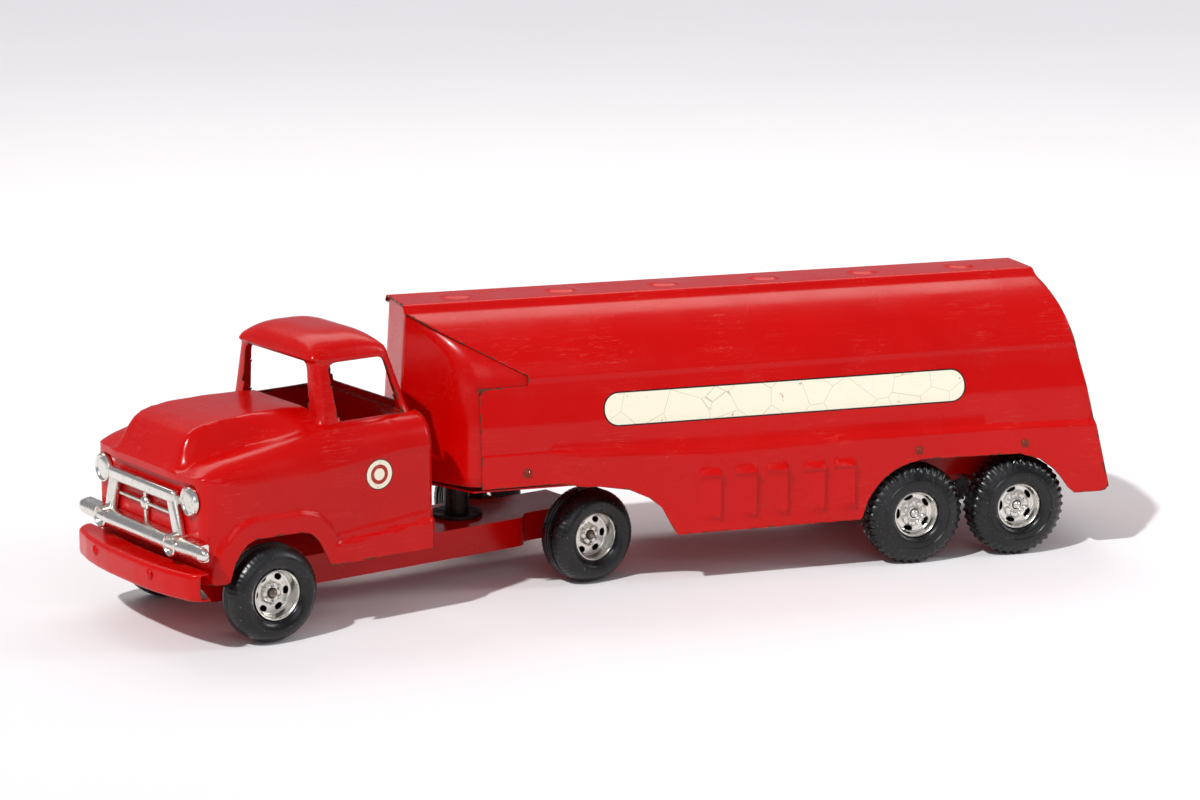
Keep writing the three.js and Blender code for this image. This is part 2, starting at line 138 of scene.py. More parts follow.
def bent(corners, counts, arc=5):
    """Points of an open path through (a, b, radius) corners, with counts[i] steps on edge i."""
    points = []
    spots = [Vector(corner[:2]) for corner in corners]
    starts, ends = list(spots), list(spots)
    for i in range(1, len(spots) - 1):
        radius = corners[i][2] if len(corners[i]) > 2 else 0
        for store, other in ((ends, spots[i - 1]), (starts, spots[i + 1])):
            edge = other - spots[i]
            if edge.length > TINY:
                store[i] = spots[i] + edge.normalized() * min(radius, 0.48 * edge.length)
    for i, count in enumerate(counts):
        begin, end = starts[i], ends[i + 1]
        points += [begin.lerp(end, step / count) for step in range(count)]
        if i + 1 < len(counts):
            after = starts[i + 1]
            for step in range(arc):
                t = step / arc
                points.append(end * (1 - t) ** 2 + spots[i + 1] * 2 * t * (1 - t) + after * t * t)
    return points + [spots[-1]]


def nearest(line, point):
    """Distance from a point to a line of points."""
    best = math.inf
    for a, b in zip(line, line[1:]):
        along = b - a
        t = min(1.0, max(0.0, (point - a).dot(along) / along.length_squared))
        best = min(best, (point - a - along * t).length)
    return best


def sheet_grid(columns, rows, place):
    """A sheet of quads whose vertex in column i and row j is at place(i, j)."""
    bm = bmesh.new()
    bmesh.ops.create_grid(bm, x_segments=columns - 1, y_segments=rows - 1, size=0.5)
    for vert in bm.verts:
        i = round((vert.co.x + 0.5) * (columns - 1))
        j = round((vert.co.y + 0.5) * (rows - 1))
        vert.co = place(i, j)
    return bm


def drop(bm, test):
    """Deletes the faces whose middle passes a test."""
    gone = [face for face in bm.faces if test(face.calc_center_median())]
    bmesh.ops.delete(bm, geom=gone, context="FACES")


def move(bm, vector):
    bmesh.ops.translate(bm, vec=vector, verts=bm.verts)


def seal(bm):
    """Merges the doubles of a closed body and turns its faces outwards."""
    bmesh.ops.remove_doubles(bm, verts=bm.verts, dist=0.01)
    bmesh.ops.recalc_face_normals(bm, faces=bm.faces)


def both_sides(bm):
    """Adds the other half of a sheet that was shaped on the left of the centre plane."""
    everything = bm.verts[:] + bm.edges[:] + bm.faces[:]
    bmesh.ops.mirror(bm, geom=everything, matrix=Matrix.Identity(4), merge_dist=0.02, axis="Y")


def face_out(bm, outside):
    """Merges doubles and turns an open sheet so that it looks towards a point outside it."""
    bmesh.ops.remove_doubles(bm, verts=bm.verts, dist=0.02)
    bmesh.ops.dissolve_degenerate(bm, edges=bm.edges, dist=0.01)
    bmesh.ops.recalc_face_normals(bm, faces=bm.faces)
    outside = Vector(outside)
    seen = min(bm.faces, key=lambda face: (face.calc_center_median() - outside).length)
    if seen.normal.dot(outside - seen.calc_center_median()) < 0:
        bmesh.ops.reverse_faces(bm, faces=bm.faces)


def mark_edges(bm, reach=2.2):
    """Stores edge_wear, which is 1 on a cut edge and fades to 0 over the reach."""
    layer = bm.verts.layers.float.new("edge_wear")
    for vert in bm.verts:
        vert[layer] = 1.0 if any(edge.is_boundary for edge in vert.link_edges) else 0.0
    for _ in range(3):
        spread = {}
        for vert in bm.verts:
            for edge in vert.link_edges:
                worn = edge.other_vert(vert)[layer] - edge.calc_length() / reach
                if worn > spread.get(vert, vert[layer]):
                    spread[vert] = worn
        for vert, worn in spread.items():
            vert[layer] = worn


def add_object(name, data):
    """Makes an object of a mesh, a light or a camera and links it to the scene."""
    thing = bpy.data.objects.new(name, data)
    bpy.context.scene.collection.objects.link(thing)
    return thing


def make_piece(name, bm, place, body, material, slot, replaces=(), crease=40):
    """Makes an object of a bmesh in local millimetres, and hands it to the frame."""
    bmesh.ops.transform(bm, matrix=place, verts=bm.verts)
    if place.determinant() < 0:
        bmesh.ops.reverse_faces(bm, faces=bm.faces)
    mesh = bpy.data.meshes.new(name)
    bm.to_mesh(mesh)
    bm.free()
    mesh.shade_smooth()
    mesh.set_sharp_from_angle(angle=math.radians(crease))
    mesh.materials.append(material)
    piece = add_object(name, mesh)
    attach(piece, body)
    if replaces:
        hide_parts(*replaces)
    return piece


def thicken(piece, gauge=SHEET, round_edge=0.2):
    """Gives a sheet its gauge, inwards, and a worn round on its cut edges."""
    solid = piece.modifiers.new("gauge", "SOLIDIFY")
    solid.thickness = gauge * MM
    solid.offset = -1
    solid.use_quality_normals = True
    edge = piece.modifiers.new("worn_edge", "BEVEL")
    edge.width = round_edge * MM
    edge.segments = 2
    edge.limit_method = "ANGLE"
    edge.angle_limit = math.radians(60)


def press(name, bm, outside, place, body, material, replaces=(), crease=40):
    """Finishes a red sheet that was shaped on the left half and is seen from a point outside it."""
    both_sides(bm)
    face_out(bm, outside)
    mark_edges(bm)
    thicken(make_piece(name, bm, place, body, material, "red_enamel", replaces, crease))


def lathe(profile, steps, axis="Y"):
    """A body of revolution about the X or Y axis from (radius, height) points."""
    bm = bmesh.new()
    spots = [(height, radius, 0) if axis == "X" else (radius, height, 0) for radius, height in profile]
    verts = [bm.verts.new(spot) for spot in spots]
    edges = [bm.edges.new(pair) for pair in zip(verts, verts[1:])]
    turn = (1, 0, 0) if axis == "X" else (0, 1, 0)
    bmesh.ops.spin(bm, geom=verts + edges, axis=turn, cent=(0, 0, 0), angle=math.tau, steps=steps,
                   use_merge=True)
    seal(bm)
    return bm


def join_into(target, source):
    """Adds a copy of one bmesh to another and frees it."""
    mesh = bpy.data.meshes.new("joining")
    source.to_mesh(mesh)
    source.free()
    target.from_mesh(mesh)
    bpy.data.meshes.remove(mesh)


def block(low, high, bevel):
    """A box between two corners with rounded edges."""
    bm = bmesh.new()
    bmesh.ops.create_cube(bm, size=1)
    low, high = Vector(low), Vector(high)
    bmesh.ops.scale(bm, vec=high - low, verts=bm.verts)
    move(bm, (low + high) / 2)
    bmesh.ops.bevel(bm, geom=bm.edges, offset=bevel, segments=3, profile=0.5, affect="EDGES",
                    material=-1, clamp_overlap=True)
    return bm


# ---- materials ----------------------------------------------------------------------------------
def linear(hex_colour):
    """An sRGB hex colour as linear RGBA."""
    channels = [int(hex_colour[i:i + 2], 16) / 255 for i in (1, 3, 5)]
    return [c / 12.92 if c <= 0.04045 else ((c + 0.055) / 1.055) ** 2.4 for c in channels] + [1.0]


def new_material(name):
    """An empty material, and the function that adds nodes to it."""
    material = bpy.data.materials.new(name)
    material.use_nodes = True
    tree = material.node_tree
    tree.nodes.clear()
    return material, functools.partial(add_node, tree)


def add_node(tree, kind, inputs=None, stops=(), **settings):
    """Adds a node; an input takes a value, a hex colour, a node or an output, stops are a ramp's.
    kind is the node's type without the ShaderNode in front."""
    node = tree.nodes.new("ShaderNode" + kind)
    for name, value in settings.items():
        setattr(node, name, value)
    for name, value in (inputs or {}).items():
        if isinstance(value, bpy.types.Node):
            value = value.outputs[0]
        if isinstance(value, bpy.types.NodeSocket):
            tree.links.new(value, node.inputs[name])
        else:
            node.inputs[name].default_value = linear(value) if isinstance(value, str) else value
    for i, (position, colour) in enumerate(stops):
        elements = node.color_ramp.elements
        element = elements[i] if i < 2 else elements.new(position)
        element.position = position
        element.color = colour
    return node


WHITE = (1.0, 1.0, 1.0, 1.0)
BLACK = (0.0, 0.0, 0.0, 1.0)
DARK_INK = "#1d1614"
CREAM = "#f0ead2"


def local_mm(add, turn):
    """Coordinates in a local frame's millimetres, for the trailer or the turned tractor."""
    place = add("TexCoord").outputs["Object"]
    shift = Matrix.Rotation(-turn, 3, "Z") @ (-KINGPIN / MM)
    return add("Mapping", {"Vector": place, "Location": shift, "Rotation": (0, 0, -turn),
                           "Scale": (1 / MM,) * 3})


def red_enamel(name, turn, marks=None):
    """Glossy baked enamel on pressed steel: deep wet shine with fine rubbed scratches, brown chips
    along the cut edges and small rust freckles."""
    material, add = new_material(name)
    where = local_mm(add, turn)
    cloud = add("TexNoise", {"Vector": where, "Scale": 0.012, "Detail": 4.0})
    colour = add("Mix", {0: cloud, 6: "#b20101", 7: "#cb0401"}, data_type="RGBA").outputs[2]
    if marks:
        colour = marks(add, where, colour)

    # hairline scratches, drawn about 0.3 mm wide so that they show
    strands = add("Mapping", {"Vector": where, "Scale": (0.03, 0.2, 0.5), "Rotation": (0.2, 0.35, 0.1)})
    strands = add("TexNoise", {"Vector": strands, "Scale": 1.0, "Detail": 6.0, "Distortion": 0.6})
    scratch = add("ValToRGB", {0: strands}, stops=((0.494, BLACK), (0.5, WHITE), (0.506, BLACK)))
    patch = add("TexNoise", {"Vector": where, "Scale": 0.03, "Detail": 2.0})
    patch = add("MapRange", {0: patch, 1: 0.5, 2: 0.62})
    scratch = add("Math", {0: scratch, 1: patch}, operation="MULTIPLY")
    faint = add("Math", {0: scratch, 1: 0.4}, operation="MULTIPLY")
    colour = add("Mix", {0: faint, 6: colour, 7: "#d8695c"}, data_type="RGBA").outputs[2]

    # chips: where the edge wear outruns a noise of about 5 mm, and small freckles of rust
    worn = add("Attribute", attribute_name="edge_wear").outputs["Fac"]
    flakes = add("TexNoise", {"Vector": where, "Scale": 0.22, "Detail": 6.0, "Roughness": 0.65})
    edge = add("Math", {0: worn, 1: 0.34, 2: flakes}, operation="MULTIPLY_ADD")
    chip = add("MapRange", {0: edge, 1: 0.79, 2: 0.83})
    dots = add("TexNoise", {"Vector": where, "Scale": 0.55, "Detail": 2.0})
    freckle = add("MapRange", {0: dots, 1: 0.74, 2: 0.77})
    rare = add("TexNoise", {"Vector": where, "Scale": 0.02, "Detail": 1.0})
    rare = add("MapRange", {0: rare, 1: 0.5, 2: 0.7})
    freckle = add("Math", {0: freckle, 1: rare}, operation="MULTIPLY")
    bare = add("Math", {0: chip, 1: freckle}, operation="MAXIMUM")
    rust = add("Mix", {0: flakes, 6: "#2c130b", 7: "#6b3a22"}, data_type="RGBA").outputs[2]
    colour = add("Mix", {0: bare, 6: colour, 7: rust}, data_type="RGBA").outputs[2]

    # handling haze, about 30 mm wide, and orange peel of about 4 mm
    haze = add("TexNoise", {"Vector": where, "Scale": 0.035, "Detail": 5.0})
    gloss = add("MapRange", {0: haze, 1: 0.3, 2: 0.75, 3: 0.16, 4: 0.34})
    gloss = add("Math", {0: bare, 1: 0.4, 2: gloss}, operation="MULTIPLY_ADD")
    peel = add("TexNoise", {"Vector": where, "Scale": 0.25, "Detail": 2.0})
    lie = add("Math", {0: bare, 1: -3.0, 2: peel}, operation="MULTIPLY_ADD")
    bump = add("Bump", {"Height": lie, "Strength": 0.16, "Distance": 0.00012})
    shader = add("BsdfPrincipled", {
        "Base Color": colour, "Roughness": gloss, "Normal": bump, "Coat Weight": 0.08,
        "Coat Roughness": 0.06, "IOR": 1.5, "Specular IOR Level": 0.19})
    add("OutputMaterial", {"Surface": shader})
    return material


def shape_distance(add, where, centre, half, radius):
    """Distance in mm outside a rounded bar or disc in the XZ plane; negative inside it."""
    no_depth = (1.0, 0.0, 1.0)
    plane = add("VectorMath", {0: where, 1: no_depth}, operation="MULTIPLY")
    offset = add("VectorMath", {0: plane, 1: centre}, operation="SUBTRACT")
    folded = add("VectorMath", {0: offset}, operation="ABSOLUTE")
    beyond = add("VectorMath", {0: folded, 1: half}, operation="SUBTRACT")
    beyond = add("VectorMath", {0: beyond, 1: (0, 0, 0)}, operation="MAXIMUM")
    length = add("VectorMath", {0: beyond}, operation="LENGTH").outputs["Value"]
    return add("Math", {0: length, 1: radius}, operation="SUBTRACT")


def printed(add, where, colour, layers):
    """Prints (distance, edge, hex colour) layers in order, each crazed and rubbed off in places."""
    craze = add("TexVoronoi", {"Vector": where, "Scale": 0.045}, feature="DISTANCE_TO_EDGE")
    crack = add("MapRange", {0: craze, 1: 0.001, 2: 0.009, 3: 0.55, 4: 1.0})
    rub = add("TexNoise", {"Vector": where, "Scale": 0.16, "Detail": 6.0, "Roughness": 0.7})
    whole = add("MapRange", {0: rub, 1: 0.3, 2: 0.36})
    whole = add("Math", {0: whole, 1: crack}, operation="MULTIPLY")
    # only on the outside of the sheet, where the surface faces away from the centre plane
    facing = add("TexCoord").outputs["Normal"]
    facing = add("VectorMath", {0: facing, 1: where}, operation="MULTIPLY")
    facing = add("SeparateXYZ", {0: facing}).outputs["Y"]
    outside = add("Math", {0: facing, 1: 0.0}, operation="GREATER_THAN")
    whole = add("Math", {0: whole, 1: outside}, operation="MULTIPLY")
    soft = 0.12
    for distance, edge, ink in layers:
        inside = add("MapRange", {0: distance, 1: edge + soft, 2: edge - soft})
        inside = add("Math", {0: inside, 1: whole}, operation="MULTIPLY")
        colour = add("Mix", {0: inside, 6: colour, 7: ink}, data_type="RGBA").outputs[2]
    return colour


def tank_band(add, where, colour):
    """A plain cream bar with a dark outline along each side of the tank."""
    bar = shape_distance(add, where, (-182.0, 0.0, 106.5), (103.0, 1.0, 0.5), 8.5)
    return printed(add, where, colour, [(bar, 0.9, DARK_INK), (bar, 0.0, CREAM)])


def door_discs(add, where, colour):
    """A plain cream disc with a red ring on each door."""
    disc = shape_distance(add, where, (93.4, 0.0, 85.3), (0.0, 1.0, 0.0), 8.8)
    return printed(add, where, colour, [(disc, 0.0, DARK_INK), (disc, -0.6, CREAM),
                                        (disc, -3.2, "#a5271f"), (disc, -5.4, CREAM)])


def screw_rust(add, where, colour):
    """Brown rust that has come through the paint of the screws in patches of about 3 mm."""
    stain = add("TexNoise", {"Vector": where, "Scale": 0.35, "Detail": 4.0})
    stain = add("MapRange", {0: stain, 1: 0.35, 2: 0.6, 3: 0.4, 4: 1.0})
    return add("Mix", {0: stain, 6: colour, 7: "#6e2f1c"}, data_type="RGBA").outputs[2]


def plated(name, pale, dull, low, high):
    """Bright plating: mirror-like where it is clean, with a warm film and pinholes of about 0.5 mm."""
    material, add = new_material(name)
    where = local_mm(add, 0.0)
    film = add("TexNoise", {"Vector": where, "Scale": 0.09, "Detail": 5.0})
    colour = add("Mix", {0: film, 6: pale, 7: dull}, data_type="RGBA").outputs[2]
    pits = add("TexNoise", {"Vector": where, "Scale": 0.9, "Detail": 2.0})
    pit = add("MapRange", {0: pits, 1: 0.69, 2: 0.73})
    colour = add("Mix", {0: pit, 6: colour, 7: "#5a4a36"}, data_type="RGBA").outputs[2]
    rough = add("MapRange", {0: film, 1: 0.35, 2: 0.7, 3: low, 4: high})
    rough = add("Math", {0: pit, 1: 0.3, 2: rough}, operation="MULTIPLY_ADD")
    ripple = add("TexNoise", {"Vector": where, "Scale": 0.2, "Detail": 2.0})
    bump = add("Bump", {"Height": ripple, "Strength": 0.2, "Distance": 0.0002})
    shader = add("BsdfPrincipled", {"Base Color": colour, "Metallic": 1.0, "Roughness": rough,
                                    "Normal": bump})
    add("OutputMaterial", {"Surface": shader})
    return material


def rusted_steel(name, grey, dark_rust, pale_rust):
    """Bare mild steel, dull grey under brown rust that gathers in patches of about 6 mm; given near-black
    colours it paints the shade of parts that sit in shadow.
    """
    material, add = new_material(name)
    where = local_mm(add, 0.0)
    patches = add("TexNoise", {"Vector": where, "Scale": 0.16, "Detail": 7.0, "Roughness": 0.65})
    rust = add("MapRange", {0: patches, 1: 0.42, 2: 0.6})
    brown = add("Mix", {0: patches, 6: dark_rust, 7: pale_rust}, data_type="RGBA").outputs[2]
    colour = add("Mix", {0: rust, 6: grey, 7: brown}, data_type="RGBA").outputs[2]
    metal = add("MapRange", {0: rust, 1: 0.0, 2: 1.0, 3: 1.0, 4: 0.0})
    rough = add("MapRange", {0: rust, 1: 0.0, 2: 1.0, 3: 0.38, 4: 0.85})
    bump = add("Bump", {"Height": patches, "Strength": 0.4, "Distance": 0.0002})
    shader = add("BsdfPrincipled", {"Base Color": colour, "Metallic": metal, "Roughness": rough,
                                    "Normal": bump})
    add("OutputMaterial", {"Surface": shader})
    return material


def tyre_rubber():
    """Moulded black rubber gone grey: dull, with pale dust rubbed over it in soft patches."""
    material, add = new_material("moulded_tyre_rubber")
    where = local_mm(add, 0.0)
    dust = add("TexNoise", {"Vector": where, "Scale": 0.05, "Detail": 6.0, "Roughness": 0.6})
    film = add("MapRange", {0: dust, 1: 0.42, 2: 0.72})
    colour = add("Mix", {0: film, 6: "#08090a", 7: "#1d1e20"}, data_type="RGBA").outputs[2]
    specks = add("TexNoise", {"Vector": where, "Scale": 0.8, "Detail": 3.0})
    speck = add("MapRange", {0: specks, 1: 0.68, 2: 0.74})
    colour = add("Mix", {0: speck, 6: colour, 7: "#77716a"}, data_type="RGBA").outputs[2]
    rough = add("MapRange", {0: film, 1: 0.0, 2: 1.0, 3: 0.26, 4: 0.5})
    grit = add("TexNoise", {"Vector": where, "Scale": 1.2, "Detail": 3.0})
    bump = add("Bump", {"Height": grit, "Strength": 0.25, "Distance": 0.0002})
    shader = add("BsdfPrincipled", {"Base Color": colour, "Roughness": rough, "Normal": bump, "IOR": 1.52,
                                    "Specular IOR Level": 0.4})
    add("OutputMaterial", {"Surface": shader})
    return material


def paper_sweep():
    """Matt white backdrop paper with faint tooth."""
    material, add = new_material("white_backdrop_paper")
    place = add("TexCoord").outputs["Object"]
    tooth = add("TexNoise", {"Vector": place, "Scale": 3.0, "Detail": 3.0})
    colour = add("Mix", {0: tooth, 6: "#eeecec", 7: "#f3f1f2"}, data_type="RGBA").outputs[2]
    shader = add("BsdfPrincipled", {"Base Color": colour, "Roughness": 0.85})
    add("OutputMaterial", {"Surface": shader})
    return material


TRAILER_RED = red_enamel("baked_red_enamel_on_trailer", 0.0)
SCREW_RED = red_enamel("rust_stained_red_enamel", 0.0, screw_rust)
TANK_RED = red_enamel("baked_red_enamel_with_tank_bands", 0.0, tank_band)
TRACTOR_RED = red_enamel("baked_red_enamel_on_tractor", STEER)
CAB_RED = red_enamel("baked_red_enamel_with_door_discs", STEER, door_discs)
PLATED_PLASTIC = plated("vacuum_plated_plastic", "#f2f1ed", "#d6d3c7", 0.16, 0.34)
PLATED_STEEL = plated("bright_nickel_plate", "#f1f0ec", "#cfccc2", 0.2, 0.38)
STEEL = rusted_steel("rusted_mild_steel", "#8d8579", "#3b2013", "#7d4a2a")
# a near-black copy of the rusted steel: painted shade for the parts in the shadow under the trailer's nose
SHADE_DARKENED_STEEL = rusted_steel("rusted_steel_darkened_as_shade", "#2b2826", "#140d0a", "#3a2419")
RUBBER = tyre_rubber()


# ---- tank trailer -------------------------------------------------------------------------------
def tank_bottom(x):
    """Height of the tank's lower edge: front arch, skirt, rear arch and tail."""
    return graph([
        (-388, 39), (-385, 36), (-362.4, 36.2), (-359, 43.3), (-352, 51.2), (-342, 58.7), (-329, 63),
        (-267.6, 64.2), (-258, 62.5), (-248.6, 59), (-239, 52), (-232, 42), (-228, 30.5),
        (-113.6, 30.5), (-108.6, 38.6), (-104, 47.3), (-96, 53.8), (-84, 59.5), (-66, 62.7),
        (-57, 63.1), (-45, 65.7), (4, 65.7)], x)


def louvre_rise(x, z):
    """How far a louvre stands out of the skirt: it opens to the rear and fades to the front."""
    for rear in LOUVRE_XS:
        if rear - LOUVRE_LIP < x < rear + LOUVRE_W:
            along = max(0.0, min(1.0, 1 - (x - rear) / LOUVRE_W))
            scoop = 2.3 * along ** 1.5 * ease(37.5, 40, z)
            hood = 1.5 * ease(LOUVRE_W, LOUVRE_W - 2.0, x - rear) * ease(62.5, 64.0, z)
            return (scoop + hood) * ease(rear - LOUVRE_LIP, rear + 0.1, x) * ease(68.2, 65.4, z)
    return 0.0


def tank_shell():
    """One sheet over the top and down both sides, with its rib, hatch discs, arches and louvres."""
    section = bent([(0, RIB_TOP), (RIB_HALF_W, RIB_TOP, 2.6), (20.8, 161.2, 2.6), (32.2, 157.4, 5),
                    (43.4, 151.4, 6), (51.6, 144.9, 5), (57.6, 136.7, 5), (60.5, 128.9)],
                   [18, 3, 5, 5, 4, 4, 4], arc=3)
    section += [Vector((60.9, z)) for z in (127.4, 125.9, 124.4)]
    side = [(90, SIDE_FOOT_Y), (101, 65), (116, 62), (123, 61.1)]
    section += [Vector((graph(side, z), z)) for z in spaced(TAB_TOP_Z, 90.0, 2.2)]
    rib_rows, ridge_rows, skirt_rows = 20, 6, 24
    # the columns crowd together at the arches, the discs and the louvres
    columns = merged(
        spaced(-357, 36, 3.0), [NOTCH_X, TAB_FRONT_X], spaced(-118, -100, 1.0), spaced(-232, -226, 0.8),
        *[spaced(x - 11, x + 11, 1.1) for x in DISC_XS],
        *[[x - LOUVRE_LIP, x - 0.2, x + 0.2] + spaced(x + 0.8, x + LOUVRE_W, 1.6) for x in LOUVRE_XS])
    for exact in (NOTCH_X, TAB_FRONT_X):
        columns = [exact if abs(x - exact) < 0.5 else x for x in columns]
    count = len(section)

    def station(u, z):
        """The column's x at a height: raked towards the tail, rounded at the nose tab's corner."""
        x = u - TAIL_RAKE * (RIB_TOP - z) * ease(RAKE_START_X, TAIL_TOP_X, u)
        corner, tab_rear = 6.0, -10
        if z <= TAB_TOP_Z and tab_rear < u <= TAB_FRONT_X:
            drop_in = max(0.0, z - (TAB_TOP_Z - corner))
            front = TAB_FRONT_X - corner + math.sqrt(corner ** 2 - drop_in ** 2)
            x = lerp(tab_rear, front, (u - tab_rear) / (TAB_FRONT_X - tab_rear))
        return x

    def place(i, j):
        u = columns[i]
        if j < count:
            y, z = section[j]
            x = station(u, z)
            if j < rib_rows:
                away = min(math.hypot(x - disc, y) for disc in DISC_XS)
                z += DISC_RISE * (1 - ease(DISC_R - 3.0, DISC_R + 0.8, away))
            return Vector((x, y, z))
        x = station(u, 80)
        grow = ease(RIDGE_START_X, RIDGE_START_X - 20, x)
        crest = graph([(-377, 81.3), (-72, 88.0)], x)
        foot = graph([(-377, 77), (-315, 78.3), (-220, 78.5), (-139, 76), (-39, 81.7)], x)
        upper = lerp(85.5, crest, grow)
        lower = lerp(84.5, foot, grow)
        flare = lerp(NOSE_SKIRT_Y, SKIRT_Y, grow)
        if j < count + ridge_rows:
            t = (j - count + 1) / ridge_rows
            z = lerp(upper, lower, t)
            return Vector((station(u, z), lerp(SIDE_FOOT_Y, flare, ease(0, 1, t)), z))
        t = (j - count - ridge_rows + 1) / skirt_rows
        # the lower edge depends on x and a raked column's x on its height, so they settle in turns
        z = lower
        for _ in range(4):
            z = lerp(lower, tank_bottom(station(u, z)), t)
        x = station(u, z)
        return Vector((x, flare + louvre_rise(x, z), z))

    bm = sheet_grid(len(columns), count + ridge_rows + skirt_rows, place)
    drop(bm, lambda c: c.z < TAB_TOP_Z and c.x > TAB_FRONT_X)
    middles = [(face, face.calc_center_median()) for face in bm.faces]
    ahead = [face for face, middle in middles if middle.x > NOTCH_X and middle.z > TAB_TOP_Z]
    geometry = set(ahead)
    for face in ahead:
        geometry.update(face.verts)
        geometry.update(face.edges)
    bmesh.ops.bisect_plane(bm, geom=list(geometry), dist=0.001, plane_co=(SEAM_TOP[0], 0, SEAM_TOP[1]),
                           plane_no=(SEAM_SLOPE, 0, -1))
    drop(bm, lambda c: c.x > NOTCH_X and TAB_TOP_Z < c.z < SEAM_TOP[1] - SEAM_SLOPE * (SEAM_TOP[0] - c.x))
    press("tank_shell_pressing", bm, (-180, 0, 400), TRAILER, "trailer", TANK_RED, ["tank_shell"], crease=32)


def nose_panel():
    """Wedge-shaped front sheet: a flat strip, two slanted facets and walls that run inside the shell."""
    heights = [66.2] + spaced(67.5, 160.5, 3.0) + [161.2, 162.5, 163.6, 164.2]
    outer = bent([(RIB_HALF_W, RIB_TOP), *TANK_SIDE, (65.6, 85, 3), (NOSE_SKIRT_Y, 60)], [2] + [3] * 9)
    wall = [(p.y, p.x) for p in reversed(outer)]
    counts = [8, 22, 14]
    arc = 5
    lean, facet_slope = 0.065, 0.675

    def place(i, j):
        z = heights[j]
        side = max(RIB_HALF_W - TUCK, graph(wall, z) - TUCK)
        strip = min(RIB_HALF_W, side - 0.05)
        front = 34.6 + lean * (161 - z)
        foot = 1.6 * ease(70, 66.2, z)
        bend = front - facet_slope * (side - strip)
        path = bent([(front - foot, 0), (front - foot, strip, 2.5), (bend - foot, side - foot, 13),
                     (-44, side - foot)], counts, arc)
        return Vector((path[i].x, path[i].y, z))

    bm = sheet_grid(sum(counts) + 2 * arc + 1, len(heights), place)
    press("nose_pressing", bm, (300, 0, 100), TRAILER, "trailer", TRAILER_RED, ["nose_panel"])


def rear_panel():
    """Tail sheet with a turned rim, pressed with a wide shallow panel."""
    outer = bent([(0, RIB_TOP), (RIB_HALF_W, RIB_TOP, 1), *TANK_SIDE, (SIDE_FOOT_Y, 84, 2),
                  (SKIRT_Y, 78, 2), (SKIRT_Y, 37.0, 3), (0, 37.0)],
                 [5, 2, 3, 3, 2, 2, 2, 3, 3, 3, 2, 10, 12], arc=3)
    centre = Vector((0, 100))
    rings = [0.0, 0.2, 0.4, 0.55, 0.66, 0.7, 0.73, 0.76, 0.84, 0.92, 0.96, 0.985, 1.0, 1.0]

    def place(i, j):
        inward = outer[i] - (outer[i] - centre).normalized() * TUCK
        t = rings[j]
        p = centre.lerp(inward, t)
        pressed_out = 1.3 * ease(0.76, 0.66, t)
        rounded = ease(0.94, 1.0, t)
        depth = 0.6 if j == len(rings) - 1 else 3.4 - pressed_out - rounded
        return Vector((TAIL_TOP_X - TAIL_RAKE * (RIB_TOP - p.y) + depth, p.x, p.y))

    bm = sheet_grid(len(outer), len(rings), place)
    press("tail_pressing", bm, (-800, 0, 100), TRAILER, "trailer", TRAILER_RED, ["rear_end_panel"])


def side_screws():
    """Domed screws along the tank's skirt, slotted and painted over, in a thin washer ring."""
    dome = [(0, 1.3), (1.0, 1.15), (1.7, 0.8), (2.1, 0.1), (2.9, 0.05), (3.0, -0.4), (0, -0.4)]
    for tag, (x, z) in SCREW_PLACES.items():
        for side, sign in SIDES:
            bm = lathe(dome, 28)
            slot_cut = [v for v in bm.verts if abs(v.co.x) < 0.5 and v.co.y > 0.8]
            bmesh.ops.translate(bm, vec=(0, -0.45, 0), verts=slot_cut)
            y = 66.6 if x > RIDGE_START_X else SKIRT_Y
            turn = Matrix.Translation((x, sign * y, z)) @ Matrix.Diagonal((1, sign, 1, 1))
            bmesh.ops.transform(bm, matrix=turn, verts=bm.verts)
            bmesh.ops.recalc_face_normals(bm, faces=bm.faces)
            make_piece(f"tank_screw_{tag}_{side}", bm, TRAILER, "trailer", SCREW_RED, "red_enamel",
                       [f"side_screw_{tag}_{side}"])


# ---- tractor ------------------------------------------------------------------------------------
ARCH = [(190, 36.5), (188.6, 44), (185.7, 51), (180, 58.4), (173.6, 60.8), (145, 60.3), (139, 58.8),
        (134, 54), (129.5, 45.5), (126.4, 38.5)]
ARCH_LINE = [Vector(p) for p in ARCH]


def cab_plan():
    """Half outline of the lower cab in plan, from the middle of the hood's lip round to the back."""
    return bent([(HOOD_FRONT_X, 0), (HOOD_FRONT_X, 31, 6), (203.4, 57.6, 7), (CORNER_X, CAB_HALF_W, 12),
                 (COWL_X, CAB_HALF_W)], [12, 9, 6, 46], arc=6)


def shoulder_height(x):
    return graph([(119, 113.8), (130, 112.0), (145, 109.4), (160, 107.2), (174, 105.4), (185, 104),
                  (195, 101.5), (203, 97.8), (207, 96.6)], x)


def dome_height(x):
    return graph([(119, 120.4), (130, 121.2), (152, 121.4), (172, 120.6), (184, 119.2), (190, 117.4),
                  (194.5, 114.6), (198, 110.2), (201, 104.6), (203.5, 100.0), (206.6, 96.8)], x)


def belt_height(x):
    return graph([(58, 98), (80, 98), (144, 90.5), (180, 91), (196, 94.5), (203.3, 96.6)], x)


def wall_bulge(x, z):
    """How far the cab's side stands out: arch flare, running-board ledge and its rib."""
    flare = 1.7 * ease(12.5, 9.5, nearest(ARCH_LINE, Vector((x, z)))) if x > 118 else 0.0
    ledge = graph([(56, 55.4), (116, 50.8)], x)
    step, band = 0.0, 0.0
    if x < 124:
        step = 1.9 * ease(ledge + 0.6, ledge - 0.6, z)
        band = 0.5 * ease(ledge + 5.6, ledge + 4.6, z)
    belt = belt_height(x)
    crease = 0.45 * math.exp(-((z - belt + 1.2) / 1.1) ** 2) * ease(150, 110, x)
    return max(flare, step + band) + crease


WALL_ROWS = 44
ROLL = [0.0, 0.012, 0.03, 0.055, 0.085, 0.12, 0.155, 0.19, 0.225, 0.258]
HOOD_ROWS = [0.258 + 0.742 * t / 22 for t in range(1, 23)]


